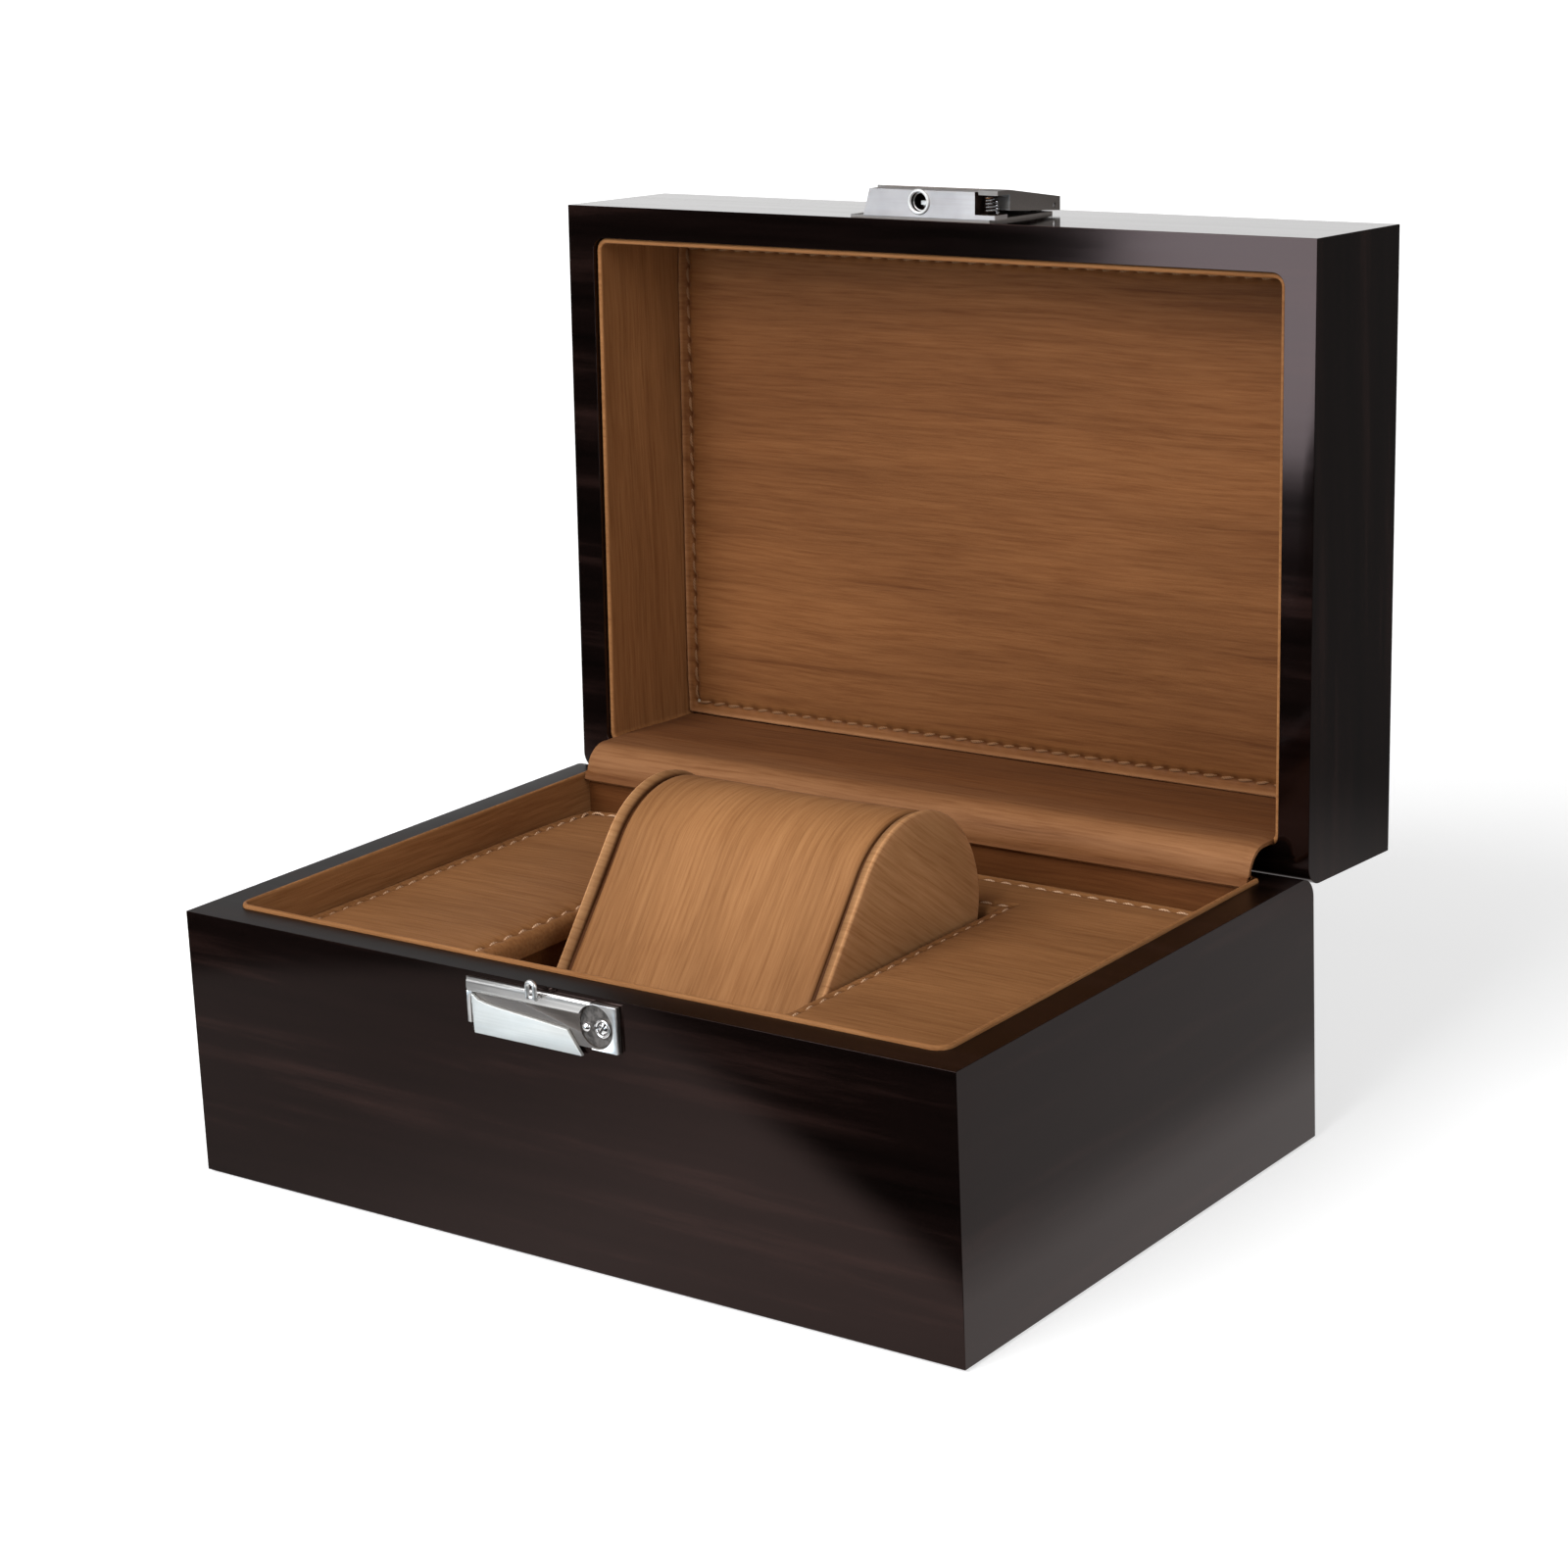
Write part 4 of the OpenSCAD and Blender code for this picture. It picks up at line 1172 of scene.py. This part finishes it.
# The lock plate's dark metal also paints the shade seen under the button's free end.
dress(["lock_plate"], CHROME_DARK, 0.15 * MM)
dress(["button_cover"], CHROME_DARK, 0.25 * MM, 3)
dress(["lock_screws", "button_pin"], CHROME)
press_spring()
dress(["base_leaf_left", "base_leaf_right", "lid_leaf_left", "lid_leaf_right", "hinge_pin_left",
       "hinge_pin_right", "base_leaf_screws", "lid_leaf_screws"], BRASS)
dress(["base_felt"], FELT, 0.25 * MM)
dress(["tray_board", "lid_pad_board", "pillow_core"], BOARD, 0.2 * MM)
dress(["well_front_wall", "well_rear_wall", "well_left_wall", "well_right_wall", "well_floor_pad"],
      LEATHER_SHADED, 0.3 * MM)

# -------------------- studio


def area_light(name, location, target, size, power, color=(1, 1, 1)):
    data = bpy.data.lights.new(name, "AREA")
    data.shape = "RECTANGLE"
    data.size, data.size_y = size
    data.energy = power
    data.color = color
    light = bpy.data.objects.new(name, data)
    light.location = location
    light.rotation_euler = (Vector(target) - Vector(location)).to_track_quat("-Z", "Y").to_euler()
    bpy.context.scene.collection.objects.link(light)


def studio_world():
    """A plain white backdrop. What the object reflects is a bright sweep low on the horizon under a dark
    ceiling."""
    n = Nodes("studio", bpy.data.worlds, "Background")
    bpy.context.scene.world = n.owner
    height = n.add("SeparateXYZ", {0: n.add("TexCoord").outputs["Generated"]}).outputs["Z"]
    levels = [(0.0, 1.15), (0.16, 1.0), (0.235, 0.45), (0.30, 0.25), (0.4, 0.16), (1.0, 0.22)]
    n.set(Color=n.ramp(height, [(position, (level, level, level)) for position, level in levels]))
    n.mix_in(n.add("LightPath").outputs["Is Camera Ray"], n.add("Background"))


def studio():
    mesh = bpy.data.meshes.new("floor")
    size = 30
    mesh.from_pydata([(x, y, 0) for x, y in rectangle(-size, size, -size, size)], [], [(0, 1, 2, 3)])
    new_object("floor", mesh, [floor_material()])
    studio_world()
    middle = (0, 0, 0.08)
    area_light("key", (-0.25, -1.05, 0.95), middle, (1.2, 0.9), 27)
    area_light("fill", (1.2, -0.3, 0.7), middle, (0.5, 0.8), 4)
    area_light("strip", (-0.42, -1.08, 0.145), (0.09, 0.07, 0.19), (0.38, 0.32), 3.1, (0.75, 0.98, 1.16))
    bpy.context.scene.view_settings.view_transform = "Standard"


def camera():
    """Stands to the right of the box's front, a little above it."""
    azimuth, elevation, roll = (math.radians(a) for a in (36.76, 14.12, -2.46))
    back = Vector((math.sin(azimuth) * math.cos(elevation), -math.cos(azimuth) * math.cos(elevation),
                   math.sin(elevation)))
    right = Vector((math.cos(azimuth), math.sin(azimuth), 0))
    up = back.cross(right)
    tilted_right = math.cos(roll) * right + math.sin(roll) * up
    tilted_up = math.cos(roll) * up - math.sin(roll) * right
    data = bpy.data.cameras.new("camera")
    data.sensor_width = 36
    data.lens = 82.6
    data.shift_x = -0.0028
    data.shift_y = -0.066
    data.clip_start = 0.01
    obj = bpy.data.objects.new("camera", data)
    turn = Matrix((tilted_right, tilted_up, back)).transposed().to_4x4()
    obj.matrix_world = Matrix.Translation((0.4519, -0.5867, 0.2933)) @ turn
    bpy.context.scene.collection.objects.link(obj)
    bpy.context.scene.camera = obj


studio()
camera()
